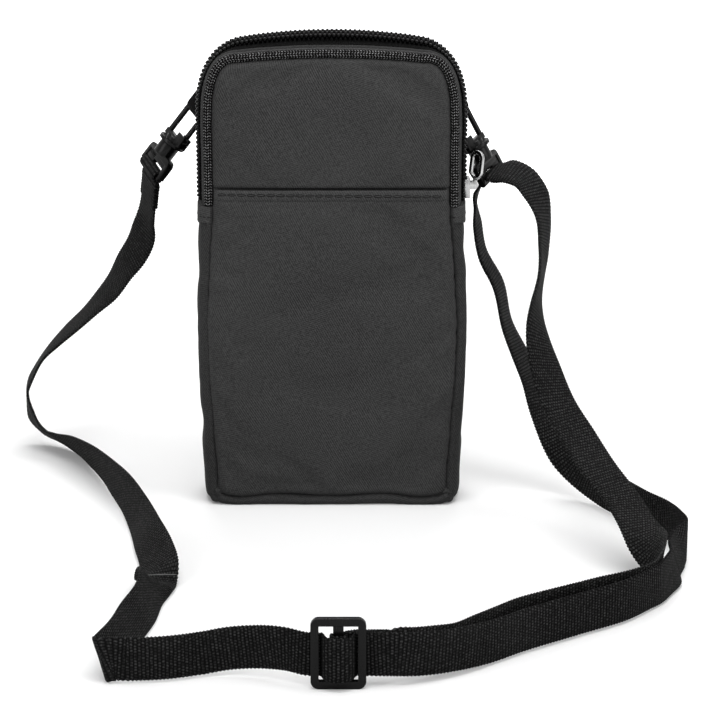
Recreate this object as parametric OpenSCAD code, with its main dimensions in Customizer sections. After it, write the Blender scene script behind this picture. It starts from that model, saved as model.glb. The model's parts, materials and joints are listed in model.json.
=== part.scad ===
// Phone pouch with a wrap-round zip mouth, a front slip pocket and a webbing shoulder strap.
// Millimetres, +Z up, front of the pouch towards -Y. The origin is the middle of the base.

/* [Pouch body] */
// Width of the pouch over its side gussets
body_w = 110; // [96:1:126]
// Depth of the pouch from front panel to back panel
body_d = 30; // [27:1:36]
// Height of the pouch to the crown of its top gusset
body_h = 192; // [176:1:210]
// Width of a top corner, seen from the front
top_corner_w = 20; // [14:1:26]
// Height of a top corner, seen from the front
top_corner_h = 28; // [20:1:36]
// Radius of a bottom corner
bottom_corner_r = 9; // [6:0.5:14]
// How far the top rises from its corners to its middle
top_crown = 1.6; // [0:0.2:3]

/* [Fabric] */
// Thickness of the outer fabric of a panel
fabric_t = 1.2; // [0.8:0.1:1.6]
// Thickness of the foam behind a panel
foam_t = 2.4; // [1:0.2:3]
// Thickness of the lining
lining_t = 0.6; // [0.4:0.1:1]
// Thickness of the gusset with its lining
gusset_t = 1.5; // [1:0.1:2]
// How far the front and back seams lie inside the outline
seam_inset = 5.7; // [5:0.1:7]

/* [Pocket and mouth] */
// Height of the pocket's top edge
pocket_h = 133.5; // [120:0.5:140]
// Height of the folded hem of the pocket
hem_h = 4.2; // [3:0.2:7]
// Height at which both ends of the zip stop
zip_end_z = 126.5; // [116:0.5:128]
// Height of the fold line that the mouth opens about
fold_z = 134.5; // [134.5:0.5:145]

/* [Zip] */
// Distance of the zip's middle from the middle of the pouch, towards the back
zip_y = 3; // [2:0.5:4]
// Width of one half of the coil
coil_half_w = 2.3; // [1.6:0.1:2.6]
// Gap between the two halves of the coil
coil_gap = 1; // [0.9:0.1:1.2]
// Height of the coil
coil_h = 2.3; // [1.8:0.1:2.6]
// Thickness of the zip tape
tape_t = 0.7; // [0.4:0.1:0.8]
// Length of the slider
slider_l = 7.7; // [6:0.1:7.7]
// Length of the pull
pull_l = 14; // [10:0.5:18]
// Width of the pull
pull_w = 6.6; // [5:0.2:8]

/* [Strap] */
// Width of the webbing
strap_w = 16; // [12:0.5:16]
// Thickness of the webbing
strap_t = 1.2; // [0.9:0.1:1.4]
// Width of the tape that each hook hangs on
loop_tape_w = 9; // [6:0.5:9]
// Length of the sewn double end at the left hook
sewn_end_l = 15; // [10:1:15]

/* [Swivel hooks] */
// Diameter of the hook's wire
hook_wire_d = 2.4; // [1.8:0.1:2.4]
// Radius of the hook's nose at the middle of the wire
hook_nose_r = 5.9; // [5.9:0.1:6.4]
// Length of the hook's straight arms
hook_arm_l = 15.5; // [13:0.5:15.5]
// Diameter of the hook's flange
flange_d = 12; // [10:0.5:14]
// Diameter of the swivel's stem
stem_d = 3.6; // [3:0.1:4]
// Diameter of the bar that the webbing goes round
eye_bar_d = 2.6; // [2:0.1:2.8]

/* [Strap adjuster] */
// Width of the adjuster along the strap
glide_w = 19; // [18:0.5:22]
// Height of the adjuster across the strap
glide_h = 25.8; // [25:0.2:30]
// Thickness of the adjuster
glide_t = 2.2; // [1.6:0.1:2.4]
// Width of each side bar of the adjuster
glide_bar = 2.8; // [2.2:0.1:3]
// Width of the adjuster's middle bar
glide_mid_bar = 3.6; // [3:0.1:4]

/* [Hidden] */

fabric_grey = "#3c3c3d";
trim_black = "#161617";
lining_grey = "#4a4a4c";
webbing_black = "#1b1b1c";
plastic_black = "#101011";
metal_silver = "#c9c9cc";

// Clearance between pieces that slide or turn in each other
run_gap = 0.3;
// Clearance all round a pin or stem in its bore
pin_gap = 0.08;
// Gap left between soft pieces that lie on each other
rest_gap = 0.1;
// Overrun of a cut past the face it leaves
over = 1;

// Outline of the pouch, seen from the front.
// Each row is the height and the half width on the straight side, as shares of the pouch's own.
side_shares = [[0.09, 0.965], [0.17, 0.985], [0.3, 1], [0.45, 1], [0.55, 0.99]];
upper_half_share = 0.969;
bottom_half_share = 0.94;
half_w = body_w / 2;
upper_half = half_w * upper_half_share;
bottom_half = half_w * bottom_half_share;
corner_steps = 7;
corner_power = 0.9;
bottom_steps = 4;
flat_top_half = upper_half - top_corner_w;
corner_start_z = body_h - top_crown - top_corner_h;

function sum2(a) = a[0] * a[0] + a[1] * a[1];
function unit2(a) = a / sqrt(sum2(a));

// Points of the right half: bottom, bottom corner, side, top corner, top.
bottom_pts = [for (s = [0, 0.5]) [s * (bottom_half - bottom_corner_r), 0]];
bottom_corner_pts = [for (i = [0:bottom_steps])
  let (a = 90 * i / bottom_steps)
  [bottom_half - bottom_corner_r * (1 - sin(a)), bottom_corner_r * (1 - cos(a))]];
low_side_pts = [for (s = side_shares) [half_w * s[1], body_h * s[0]]];
high_side_pts = [[upper_half, zip_end_z], [upper_half, fold_z]];
top_corner_pts = [for (i = [0:corner_steps])
  let (a = 90 * i / corner_steps)
  [flat_top_half + top_corner_w * pow(cos(a), corner_power),
   corner_start_z + top_corner_h * pow(sin(a), corner_power)]];
top_pts = [for (s = [0.66, 0.33]) [s * flat_top_half, body_h - top_crown * s * s], [0, body_h]];
low_half_pts = concat(bottom_pts, bottom_corner_pts, low_side_pts, [high_side_pts[0]]);
high_half_pts = concat(top_corner_pts, top_pts);
function flipped(pts) = [for (i = [len(pts) - 1:-1:0]) [-pts[i][0], pts[i][1]]];
function reversed(pts) = [for (i = [len(pts) - 1:-1:0]) pts[i]];
// The upper arch runs from the right side over the top to the left side.
function arch_from(z) = concat([[upper_half, z]], high_half_pts,
  flipped([for (i = [0:len(high_half_pts) - 2]) high_half_pts[i]]), [[-upper_half, z]]);
// The lower run goes from the left side under the base to the right side.
low_run = concat(flipped([for (i = [1:len(low_half_pts) - 1]) low_half_pts[i]]), low_half_pts);
whole_outline = concat(flipped([for (i = [1:len(low_half_pts) - 1]) low_half_pts[i]]), low_half_pts,
  arch_from(fold_z));

// Outward normal of an open or closed run that goes round the pouch anticlockwise, seen from the front.
function tangent(p, i) = unit2(p[min(i + 1, len(p) - 1)] - p[max(i - 1, 0)]);
function normal(p, i) = let (t = tangent(p, i)) [t[1], -t[0]];
function inset_pts(p, d) = [for (i = [0:len(p) - 1]) p[i] - normal(p, i) * d];

// Profiles across the depth: each point is [y, inset from the outline].
front_y = -body_d / 2;
back_y = body_d / 2;
lower_half_profile = [[1, 1], [0.97, 0.63], [0.87, 0.28], [0.7, 0.07], [0.47, 0]];
function lower_profile() = concat(
  [for (s = lower_half_profile) [front_y * s[0], seam_inset * s[1]]],
  [for (i = [len(lower_half_profile) - 1:-1:0])
    [back_y * lower_half_profile[i][0], seam_inset * lower_half_profile[i][1]]]);
// The zip's own places across the depth.
tape_in = seam_inset * 0.12;
tape_out_w = 3.2;
coil_front_edge = zip_y - coil_gap / 2 - coil_half_w;
coil_rear_edge = zip_y + coil_gap / 2 + coil_half_w;
tape_front_y = coil_front_edge - tape_out_w;
tape_rear_y = coil_rear_edge + tape_out_w;
tape_gap = coil_gap * 1.2;
coil_sink = rest_gap;
coil_in = tape_in - coil_sink;
// The upper front edge is squarer: binding, then a strip of gusset, then the zip.
binding_proud = 0.6;
binding_in = seam_inset * 0.93;
binding_out = seam_inset * 0.4;
binding_profile = [
  [front_y - binding_proud * 0.4, binding_in],
  [front_y - binding_proud, binding_in - seam_inset * 0.18],
  [front_y - binding_proud * 0.4, binding_out + seam_inset * 0.14],
  [front_y * 0.95, binding_out]];
gusset_front_profile = [
  [front_y * 0.9, binding_out - rest_gap],
  [front_y * 0.8, seam_inset * 0.25],
  [front_y * 0.6, seam_inset * 0.16],
  [front_y * 0.37, tape_in],
  [tape_front_y - rest_gap, tape_in]];
rear_gusset_profile = [
  [tape_rear_y + rest_gap, tape_in],
  [back_y * 0.7, seam_inset * 0.15],
  [back_y * 0.87, seam_inset * 0.33],
  [back_y * 0.97, seam_inset * 0.65],
  [back_y, seam_inset]];

function profile_normal(p, i) = let (t = unit2(p[min(i + 1, len(p) - 1)] - p[max(i - 1, 0)])) [-t[1], t[0]];
function thick_profile(p, t) = concat(p,
  [for (i = [len(p) - 1:-1:0]) p[i] + profile_normal(p, i) * t]);

// A strip of given section swept along a run of the outline. The section is [y, inset] points,
// outer line first and then the inner line back.
module swept_strip(run, section) {
  m = len(section);
  n = len(run);
  half = m / 2;
  pts = [for (i = [0:n - 1]) let (k = normal(run, i)) for (s = section)
    [run[i][0] - k[0] * s[1], s[0], run[i][1] - k[1] * s[1]]];
  walls = [for (i = [0:n - 2]) for (j = [0:m - 1]) let (k = (j + 1) % m)
    each [[i * m + j, i * m + k, (i + 1) * m + k], [i * m + j, (i + 1) * m + k, (i + 1) * m + j]]];
  starts = [for (j = [0:half - 2]) each [
    [j, m - 2 - j, j + 1],
    [j, m - 1 - j, m - 2 - j]]];
  ends = [for (t = starts) [for (q = [2:-1:0]) t[q] + (n - 1) * m]];
  polyhedron(points = pts, faces = concat(walls, starts, ends), convexity = 6);
}

module plate(pts, y0, y1) {
  translate([0, y1, 0])
    rotate([90, 0, 0])
      linear_extrude(height = y1 - y0)
        polygon(pts);
}

// Part of the pouch's outline between two heights, drawn in by an inset.
module outline_plate(inset, y0, y1, z0, z1) {
  intersection() {
    plate(inset_pts(whole_outline, inset), y0, y1);
    translate([-body_w, y0 - over, z0])
      cube([2 * body_w, y1 - y0 + 2 * over, z1 - z0]);
  }
}

panel_in = seam_inset + 0.6;
upper_panel_in = binding_in + rest_gap;
foam_in = seam_inset + gusset_t + 0.8;
front_fabric_y = front_y + fabric_t;
front_foam_y = front_fabric_y + foam_t;
back_fabric_y = back_y - fabric_t;
back_foam_y = back_fabric_y - foam_t;
fold_gap = 0.3;
top_z = body_h;

module back_panel() {
  color(fabric_grey)
    outline_plate(panel_in, back_fabric_y, back_y, 0, top_z);
}
module back_foam() {
  color(lining_grey)
    outline_plate(foam_in, back_foam_y, back_fabric_y, 0, top_z);
}
module back_lining() {
  color(lining_grey)
    outline_plate(foam_in, back_foam_y - lining_t, back_foam_y, 0, top_z);
}
module lower_gusset() {
  color(fabric_grey)
    swept_strip(low_run, thick_profile(lower_profile(), gusset_t));
}
module front_panel_lower() {
  color(fabric_grey)
    outline_plate(panel_in, front_y, front_fabric_y, 0, fold_z - fold_gap);
}
module front_foam() {
  color(lining_grey)
    outline_plate(foam_in, front_fabric_y, front_foam_y, 0, fold_z - fold_gap);
}
module front_lining() {
  color(lining_grey)
    outline_plate(foam_in, front_foam_y, front_foam_y + lining_t, 0, fold_z - fold_gap);
}
pocket_in = seam_inset + 0.3;
pocket_back_y = front_y - rest_gap;
pocket_front_y = pocket_back_y - fabric_t;
hem_z = pocket_h - hem_h;
module front_pocket() {
  color(fabric_grey)
    outline_plate(pocket_in, pocket_front_y, pocket_back_y, 0, hem_z);
}
module pocket_hem() {
  color(fabric_grey)
    outline_plate(pocket_in, pocket_front_y - fabric_t / 2, pocket_back_y, hem_z, pocket_h);
}

// Upper arch of the root: rear gusset, rear tape and rear half of the coil.
module rear_gusset() {
  color(fabric_grey)
    swept_strip(arch_from(zip_end_z), thick_profile(rear_gusset_profile, gusset_t));
}
rear_tape_profile = [[zip_y + tape_gap / 2, tape_in], [tape_rear_y, tape_in]];
front_tape_profile = [[tape_front_y, tape_in], [zip_y - tape_gap / 2, tape_in]];
function flat_section(y0, y1, i0, i1) = [[y0, i0], [y1, i0], [y1, i1], [y0, i1]];
module zip_tape_rear() {
  color(trim_black)
    swept_strip(arch_from(zip_end_z), flat_section(zip_y + tape_gap / 2, tape_rear_y, tape_in, tape_in + tape_t));
}
module zip_coil_rear() {
  color(trim_black)
    swept_strip(arch_from(zip_end_z), flat_section(zip_y + coil_gap / 2, coil_rear_edge, coil_in - coil_h, coil_in));
}

// The zip's last stretch below the fold stays shut: binding, gusset strip, tape and coil.
module zip_foot(side) {
  run = side > 0
    ? [[upper_half, zip_end_z], [upper_half, fold_z - fold_gap]]
    : [[-upper_half, fold_z - fold_gap], [-upper_half, zip_end_z]];
  color(trim_black) {
    swept_strip(run, thick_profile(binding_profile, gusset_t * 0.7));
    swept_strip(run, thick_profile([for (i = [0:3]) gusset_front_profile[i]], gusset_t));
    swept_strip(run, flat_section(gusset_front_profile[3][0], zip_y - tape_gap / 2, tape_in, tape_in + tape_t));
    swept_strip(run, flat_section(coil_front_edge, zip_y - coil_gap / 2, coil_in - coil_h, coil_in));
  }
}
tab_h = 7;
tab_t = 0.8;
tab_profile = [[front_y * 0.985, seam_inset * 0.38], [front_y * 0.89, seam_inset * 0.03],
  [front_y * 0.65, -seam_inset * 0.13], [front_y * 0.4, -seam_inset * 0.19], [back_y * 0.6, -seam_inset * 0.19]];
last_side = low_side_pts[len(low_side_pts) - 1];
tab_half = upper_half + (last_side[0] - upper_half) * tab_h / (zip_end_z - last_side[1]);
module zip_end_tab(side) {
  run = side > 0
    ? [[tab_half, zip_end_z - tab_h], [upper_half, zip_end_z - rest_gap]]
    : [[-upper_half, zip_end_z - rest_gap], [-tab_half, zip_end_z - tab_h]];
  color(fabric_grey)
    swept_strip(run, thick_profile(tab_profile, tab_t));
}

// The mouth's flap: upper front panel with its padding, binding, gusset strip and front half of the zip.
flap_z = fold_z;
module front_panel_upper() {
  color(fabric_grey)
    outline_plate(upper_panel_in, front_y, front_fabric_y, flap_z, top_z);
}
module flap_foam() {
  color(lining_grey)
    outline_plate(foam_in, front_fabric_y, front_foam_y, flap_z, top_z);
}
module flap_lining() {
  color(lining_grey)
    outline_plate(foam_in, front_foam_y, front_foam_y + lining_t, flap_z, top_z);
}
module front_binding() {
  color(trim_black)
    swept_strip(arch_from(flap_z), thick_profile(binding_profile, gusset_t * 0.7));
}
module top_gusset() {
  color(fabric_grey)
    swept_strip(arch_from(flap_z), thick_profile(gusset_front_profile, gusset_t));
}
module zip_tape_front() {
  color(trim_black)
    swept_strip(arch_from(flap_z), flat_section(tape_front_y, zip_y - tape_gap / 2, tape_in, tape_in + tape_t));
}
module zip_coil_front() {
  color(trim_black)
    swept_strip(arch_from(flap_z), flat_section(coil_front_edge, zip_y - coil_gap / 2, coil_in - coil_h, coil_in));
}

// Slider on the right side, at the lower end of its travel.
slider_x = upper_half;
slider_z = zip_end_z + run_gap + slider_l / 2;
coil_top_x = slider_x - coil_in + coil_h;
tape_out_x = slider_x - tape_in;
tape_in_x = tape_out_x - tape_t;
slider_plate_t = 1;
slider_rail_t = 0.8;
slider_w = 2 * coil_half_w + coil_gap + 2 * (run_gap + slider_rail_t);
slider_post_w = coil_gap - 2 * run_gap + 0.1;
slider_post_l = 2;
slider_out_x = coil_top_x + run_gap + slider_plate_t;
ear_t = 0.9;
ear_h = 2.8;
pin_d = 1.1;
pull_bore_d = pin_d + 2 * pin_gap;
pull_t = 1.4;
pull_hub_w = 2;
pull_hub_d = 3.2;
ear_gap = pull_hub_w + 2 * run_gap;
pin_x = slider_out_x + pull_hub_d / 2 + run_gap;
pin_z = slider_z + slider_l * 0.12;
module slider_block(x0, x1, y0, y1, z0, z1) {
  translate([x0, y0, z0])
    cube([x1 - x0, y1 - y0, z1 - z0]);
}
module zip_slider() {
  z0 = slider_z - slider_l / 2;
  z1 = slider_z + slider_l / 2;
  y0 = zip_y - slider_w / 2;
  y1 = zip_y + slider_w / 2;
  color(metal_silver) {
    slider_block(coil_top_x + run_gap, slider_out_x, y0, y1, z0, z1);
    slider_block(tape_out_x + run_gap, slider_out_x, y0, y0 + slider_rail_t, z0, z1);
    slider_block(tape_out_x + run_gap, slider_out_x, y1 - slider_rail_t, y1, z0, z1);
    slider_block(tape_in_x - run_gap - slider_plate_t, tape_in_x - run_gap, y0 + slider_rail_t,
      y1 - slider_rail_t, z0, z1);
    slider_block(tape_in_x - run_gap - slider_plate_t, slider_out_x, zip_y - slider_post_w / 2,
      zip_y + slider_post_w / 2, z0, z0 + slider_post_l);
    for (s = [-1, 1])
      slider_block(slider_out_x - slider_plate_t, slider_out_x + ear_h,
        zip_y + s * (ear_gap + ear_t) / 2 - ear_t / 2, zip_y + s * (ear_gap + ear_t) / 2 + ear_t / 2,
        pin_z - ear_h / 2, pin_z + ear_h / 2);
    translate([pin_x, zip_y - ear_gap / 2 - ear_t, pin_z])
      rotate([-90, 0, 0])
        cylinder(d = pin_d, h = ear_gap + 2 * ear_t, $fn = 24);
  }
}
// The pull stands up against the side, leaning a little out: a ring with a hub on the slider's pin.
pull_lean = 9;
pull_ring_bar = 1.5;
module zip_pull() {
  color(metal_silver)
    translate([pin_x, zip_y, pin_z])
      rotate([0, pull_lean, 0])
        difference() {
          union() {
            rotate([90, 0, 0])
              cylinder(d = pull_hub_d, h = pull_hub_w, center = true, $fn = 32);
            translate([-pull_t / 2, -pull_hub_w / 2, 0])
              cube([pull_t, pull_hub_w, pull_l / 4]);
            translate([-pull_t / 2, 0, pull_l / 4 + pull_w / 2 - pull_ring_bar])
              rotate([90, 0, 90])
                linear_extrude(height = pull_t)
                  pull_outline();
          }
          rotate([90, 0, 0])
            cylinder(d = pull_bore_d, h = pull_hub_w + over, center = true, $fn = 32);
        }
}
module pull_outline() {
  long = pull_l * 3 / 4 - pull_w + pull_ring_bar;
  difference() {
    union() {
      circle(d = pull_w, $fn = 40);
      translate([-pull_w / 2, 0])
        square([pull_w, long]);
      translate([0, long])
        circle(d = pull_w, $fn = 40);
    }
    circle(d = pull_w - 2 * pull_ring_bar, $fn = 40);
    translate([-pull_w / 2 + pull_ring_bar, 0])
      square([pull_w - 2 * pull_ring_bar, long]);
    translate([0, long])
      circle(d = pull_w - 2 * pull_ring_bar, $fn = 40);
  }
}

// Hook frames. The hook's own X runs from the swivel to its nose.
left_flange = [-66.5, 22, 145];
left_tilt = 52;
right_flange = [60, 22, 143.2];
right_tilt = 62;
loop_turn = -55;
eye_turn = -60;
module hook_frame(side) {
  if (side < 0)
    translate(left_flange)
      rotate([0, -left_tilt, 0])
        children();
  else
    translate(right_flange)
      mirror([1, 0, 0])
        rotate([0, -right_tilt, 0])
          children();
}
flange_t = 1.4;
collar_t = 1.6;
collar_d = flange_d * 0.6;
yoke_t = 2.4;
stem_l = 4.8;
stem_head_d = 5.4;
stem_head_t = 1.2;
barrel_gap = 0.5;
barrel_l = 5.5;
barrel_d = 8.6;
gate_pin_d = 1.4;
gate_pin_x = 5;
gate_ear_t = 0.9;
gate_tip_x = hook_arm_l - 1.4;
gate_d = 2.2;
gate_hub_w = 1.6;
gate_eye_d = 3;
module hook(side) {
  color(plastic_black)
    hook_frame(side) {
      // flange, collar, stem and its head
      rotate([0, 90, 0])
        cylinder(d = flange_d, h = flange_t, $fn = 48);
      translate([flange_t, 0, 0])
        rotate([0, 90, 0])
          cylinder(d = collar_d, h = collar_t, $fn = 48);
      translate([-stem_l, 0, 0])
        rotate([0, 90, 0])
          cylinder(d = stem_d, h = stem_l, $fn = 40);
      translate([-stem_l, 0, 0])
        rotate([0, 90, 0])
          cylinder(d = stem_head_d, h = stem_head_t, $fn = 40);
      rotate([loop_turn, 0, 0]) {
        // yoke under both arms
        translate([flange_t, -hook_wire_d / 2, -hook_nose_r + hook_wire_d])
          cube([yoke_t, hook_wire_d, 2 * hook_nose_r - hook_wire_d / 2]);
        // fixed arm
        translate([flange_t, 0, hook_nose_r])
          rotate([0, 90, 0])
            cylinder(d = hook_wire_d, h = hook_arm_l - flange_t, $fn = 32);
        // nose
        translate([hook_arm_l, 0, 0])
          rotate([90, 0, 0])
            rotate([0, 0, -90])
              rotate_extrude(angle = 180, $fn = 48)
                translate([hook_nose_r, 0])
                  circle(d = hook_wire_d, $fn = 32);
        // ears and pin of the gate
        for (s = [-1, 1])
          translate([flange_t, s * (gate_hub_w / 2 + run_gap + gate_ear_t / 2) - gate_ear_t / 2,
            -hook_nose_r - gate_eye_d / 2])
            cube([gate_pin_x - flange_t + gate_pin_d, gate_ear_t, gate_eye_d + hook_wire_d]);
        translate([gate_pin_x, -gate_hub_w / 2 - run_gap - gate_ear_t, -hook_nose_r])
          rotate([-90, 0, 0])
            cylinder(d = gate_pin_d, h = gate_hub_w + 2 * (run_gap + gate_ear_t), $fn = 32);
      }
    }
}
module gate(side) {
  color(plastic_black)
    hook_frame(side)
      rotate([loop_turn, 0, 0])
        difference() {
          union() {
            translate([gate_pin_x, 0, -hook_nose_r])
              rotate([90, 0, 0])
                cylinder(d = gate_eye_d, h = gate_hub_w, center = true, $fn = 32);
            translate([gate_pin_x + gate_eye_d * 0.4, -gate_hub_w / 2, -hook_nose_r - gate_hub_w / 2])
              cube([gate_eye_d, gate_hub_w, gate_hub_w]);
            translate([gate_pin_x + gate_eye_d, 0, -hook_nose_r])
              rotate([0, 90, 0])
                cylinder(d = gate_d, h = gate_tip_x - gate_pin_x - gate_eye_d, $fn = 32);
          }
          translate([gate_pin_x, 0, -hook_nose_r])
            rotate([90, 0, 0])
              cylinder(d = gate_pin_d + 2 * pin_gap, h = gate_hub_w + over, center = true, $fn = 32);
        }
}

// Swivel eye: a barrel round the stem and a flat frame with a round bar for the webbing.
eye_bar_x = -13.5;
eye_rim = 2.2;
eye_half_w = strap_w / 2 + eye_rim;
eye_t = 3;
eye_side = 1.9;
eye_top_x = -5;
eye_slot_x = -7.6;
eye_corner_r = 2.4;
module swivel_eye(side) {
  color(plastic_black)
    hook_frame(side)
      difference() {
        union() {
          translate([-barrel_gap - barrel_l, 0, 0])
            rotate([0, 90, 0])
              cylinder(d = barrel_d, h = barrel_l, $fn = 48);
          rotate([eye_turn, 0, 0]) {
            translate([0, eye_t / 2, 0])
              rotate([90, 0, 0])
                linear_extrude(height = eye_t)
                  eye_outline();
            translate([eye_bar_x, 0, -eye_half_w + eye_side / 2])
              cylinder(d = eye_bar_d, h = 2 * eye_half_w - eye_side, $fn = 32);
          }
        }
        translate([-stem_l - run_gap * 2, 0, 0])
          rotate([0, 90, 0])
            cylinder(d = stem_head_d + 2 * run_gap, h = stem_head_t + run_gap * 3, $fn = 48);
        translate([-stem_l, 0, 0])
          rotate([0, 90, 0])
            cylinder(d = stem_d + 2 * pin_gap, h = stem_l + over, $fn = 48);
      }
}
module eye_outline() {
  difference() {
    union() {
      translate([eye_bar_x, -eye_half_w])
        square([eye_top_x - eye_corner_r - eye_bar_x, 2 * eye_half_w]);
      translate([eye_bar_x, -eye_half_w + eye_corner_r])
        square([eye_top_x - eye_bar_x, 2 * (eye_half_w - eye_corner_r)]);
      for (s = [-1, 1])
        translate([eye_top_x - eye_corner_r, s * (eye_half_w - eye_corner_r)])
          circle(r = eye_corner_r, $fn = 32);
    }
    translate([eye_bar_x - over, -eye_half_w + eye_side])
      square([eye_slot_x - eye_bar_x + over, 2 * (eye_half_w - eye_side)]);
  }
}

// Tape loop behind each upper side that a hook hangs on, and its patch sewn to the back panel.
fold_x = 18.6;
fold_in_r = 2.2;
fold_close_x = 24.5;
loop_tape_t = 1.2;
patch_l = 12;
patch_x_share = 0.66;
patch_z = 172;
patch_t = 2 * loop_tape_t;
patch_gap = 0.3;
function patch_place(side) = [side * upper_half * patch_x_share, back_y + patch_gap, patch_z];
module loop_profile() {
  difference() {
    union() {
      circle(r = fold_in_r + loop_tape_t, $fn = 40);
      translate([0, -fold_in_r - loop_tape_t])
        square([fold_close_x - fold_x, 2 * (fold_in_r + loop_tape_t)]);
    }
    circle(r = fold_in_r, $fn = 40);
    translate([0, -fold_in_r])
      square([fold_close_x - fold_x - loop_tape_t, 2 * fold_in_r]);
  }
}
module loop_patch(side) {
  translate(patch_place(side))
    rotate([0, side < 0 ? -left_tilt : left_tilt, 0])
      translate([-patch_l / 2, 0, -loop_tape_w / 2])
        cube([patch_l, patch_t, loop_tape_w]);
}
module strap_loop(side) {
  color(webbing_black) {
    hook_frame(side)
      rotate([loop_turn, 0, 0])
        translate([fold_x, 0, -loop_tape_w / 2])
          linear_extrude(height = loop_tape_w)
            loop_profile();
    hull() {
      hook_frame(side)
        rotate([loop_turn, 0, 0])
          translate([fold_close_x - loop_tape_t / 2, -patch_t / 2, -loop_tape_w / 2])
            cube([loop_tape_t, patch_t, loop_tape_w]);
      translate(patch_place(side))
        rotate([0, side < 0 ? -left_tilt : left_tilt, 0])
          translate([side < 0 ? -patch_l / 2 : patch_l / 2 - loop_tape_t, 0, -loop_tape_w / 2])
            cube([loop_tape_t, patch_t, loop_tape_w]);
    }
    loop_patch(side);
  }
}

// Webbing folded round the left eye's bar and sewn to itself.
leg_turn = 34;
bar_loop_in = eye_bar_d / 2 + 0.2;
bar_loop_out = bar_loop_in + strap_t;
module eye_bar_frame(side) {
  hook_frame(side)
    rotate([eye_turn, 0, 0])
      translate([eye_bar_x, 0, 0])
        children();
}
module strap_end_left() {
  color(webbing_black)
    eye_bar_frame(-1)
      translate([0, 0, -strap_w / 2])
        linear_extrude(height = strap_w)
          difference() {
            union() {
              circle(r = bar_loop_out, $fn = 40);
              rotate(180 - leg_turn)
                translate([0, -strap_t])
                  square([sewn_end_l, 2 * strap_t]);
            }
            circle(r = bar_loop_in, $fn = 40);
          }
}
// Webbing turned round the right eye's bar, free to run.
turn_start = -31.5;
turn_sweep = 96.7;
module strap_turn_right() {
  color(webbing_black)
    eye_bar_frame(1)
      rotate([0, 0, turn_start])
        rotate_extrude(angle = turn_sweep, $fn = 64)
          translate([bar_loop_in, -strap_w / 2])
            square([strap_t, strap_w]);
}

// Adjuster: an upright frame with two slots, on the floor in front.
glide_x = 3.7;
glide_y = -202;
glide_z0 = 0;
glide_r = 2.9;
glide_slot_h = glide_h - 2 * glide_bar;
strap_glide_z = glide_z0 + glide_h / 2 - 1.2;
slot_edge = glide_w / 2 - glide_bar;
glide_back_y = glide_y + glide_t / 2;
glide_mid_t = 1.6;
module tri_glide() {
  color(plastic_black)
    translate([glide_x, glide_y + glide_t / 2, glide_z0 + glide_h / 2])
      rotate([90, 0, 0]) {
        linear_extrude(height = glide_t)
          difference() {
            union() {
              square([glide_w, glide_h - 2 * glide_r], center = true);
              square([glide_w - 2 * glide_r, glide_h], center = true);
              for (a = [-1, 1])
                for (b = [-1, 1])
                  translate([a * (glide_w / 2 - glide_r), b * (glide_h / 2 - glide_r)])
                    circle(r = glide_r, $fn = 32);
            }
            square([2 * slot_edge, glide_slot_h], center = true);
          }
        translate([-glide_mid_bar / 2, -glide_slot_h / 2 - glide_bar / 2, (glide_t - glide_mid_t) / 2])
          cube([glide_mid_bar, glide_slot_h + glide_bar, glide_mid_t]);
      }
}

// A flat band in plan: a centre line thickened both ways, extruded over the webbing's width.
function line_normal(p, i) = let (t = unit2(p[min(i + 1, len(p) - 1)] - p[max(i - 1, 0)])) [-t[1], t[0]];
function thick_line(p, t) = concat(
  [for (i = [0:len(p) - 1]) p[i] + line_normal(p, i) * t / 2],
  [for (i = [len(p) - 1:-1:0]) p[i] - line_normal(p, i) * t / 2]);
ring_gap = 0.2;
ring_half_x = glide_mid_bar / 2 + ring_gap + strap_t;
ring_half_y = glide_mid_t / 2 + ring_gap + strap_t;
weave_front = -ring_half_y - run_gap - strap_t / 2;
weave_back = glide_t / 2 + run_gap + strap_t / 2;
slot_mid = (slot_edge + ring_half_x) / 2;
weave_left_x = -14;
weave_right_x = 22;
// Half of the weave, from the middle bar outwards, in the adjuster's own places.
weave_half = [
  [ring_half_x * 1.05, weave_front],
  [slot_mid - strap_t * 0.5, weave_front * 0.72],
  [slot_mid, (weave_front + weave_back) / 2],
  [slot_mid + strap_t * 0.75, weave_back * 0.85],
  [slot_edge + glide_bar * 0.5, weave_back],
  [slot_edge + glide_bar, weave_back]];
weave_line = concat(
  [[weave_left_x, -196]],
  [for (i = [len(weave_half) - 1:-1:0]) [glide_x - weave_half[i][0], glide_y + weave_half[i][1]]],
  [for (p = weave_half) [glide_x + p[0], glide_y + p[1]]],
  [[weave_right_x, -201]]);
module strap_weave() {
  color(webbing_black)
    translate([0, 0, strap_glide_z - strap_w / 2])
      linear_extrude(height = strap_w)
        polygon(thick_line(weave_line, strap_t));
}
// Sewn end of the strap round the middle bar, with its double tail behind the strap.
tail_y = glide_y + weave_back + strap_t / 2 + run_gap + strap_t;
tail_x = 21;
module strap_sewn_end() {
  color(webbing_black)
    translate([0, 0, strap_glide_z - strap_w / 2])
      linear_extrude(height = strap_w)
        difference() {
          union() {
            translate([glide_x - ring_half_x, glide_y - ring_half_y])
              square([2 * ring_half_x, 2 * ring_half_y]);
            polygon([
              [glide_x, glide_y + ring_half_y - strap_t],
              [glide_x + ring_half_x, glide_y + ring_half_y - strap_t],
              [glide_x + slot_edge, tail_y - strap_t],
              [tail_x, tail_y - strap_t],
              [tail_x, tail_y + strap_t],
              [glide_x + slot_edge - strap_t, tail_y + strap_t],
              [glide_x, glide_y + ring_half_y]]);
          }
          translate([glide_x - glide_mid_bar / 2 - ring_gap, glide_y - glide_mid_t / 2 - ring_gap])
            square([glide_mid_bar + 2 * ring_gap, glide_mid_t + 2 * ring_gap]);
        }
}

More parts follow.
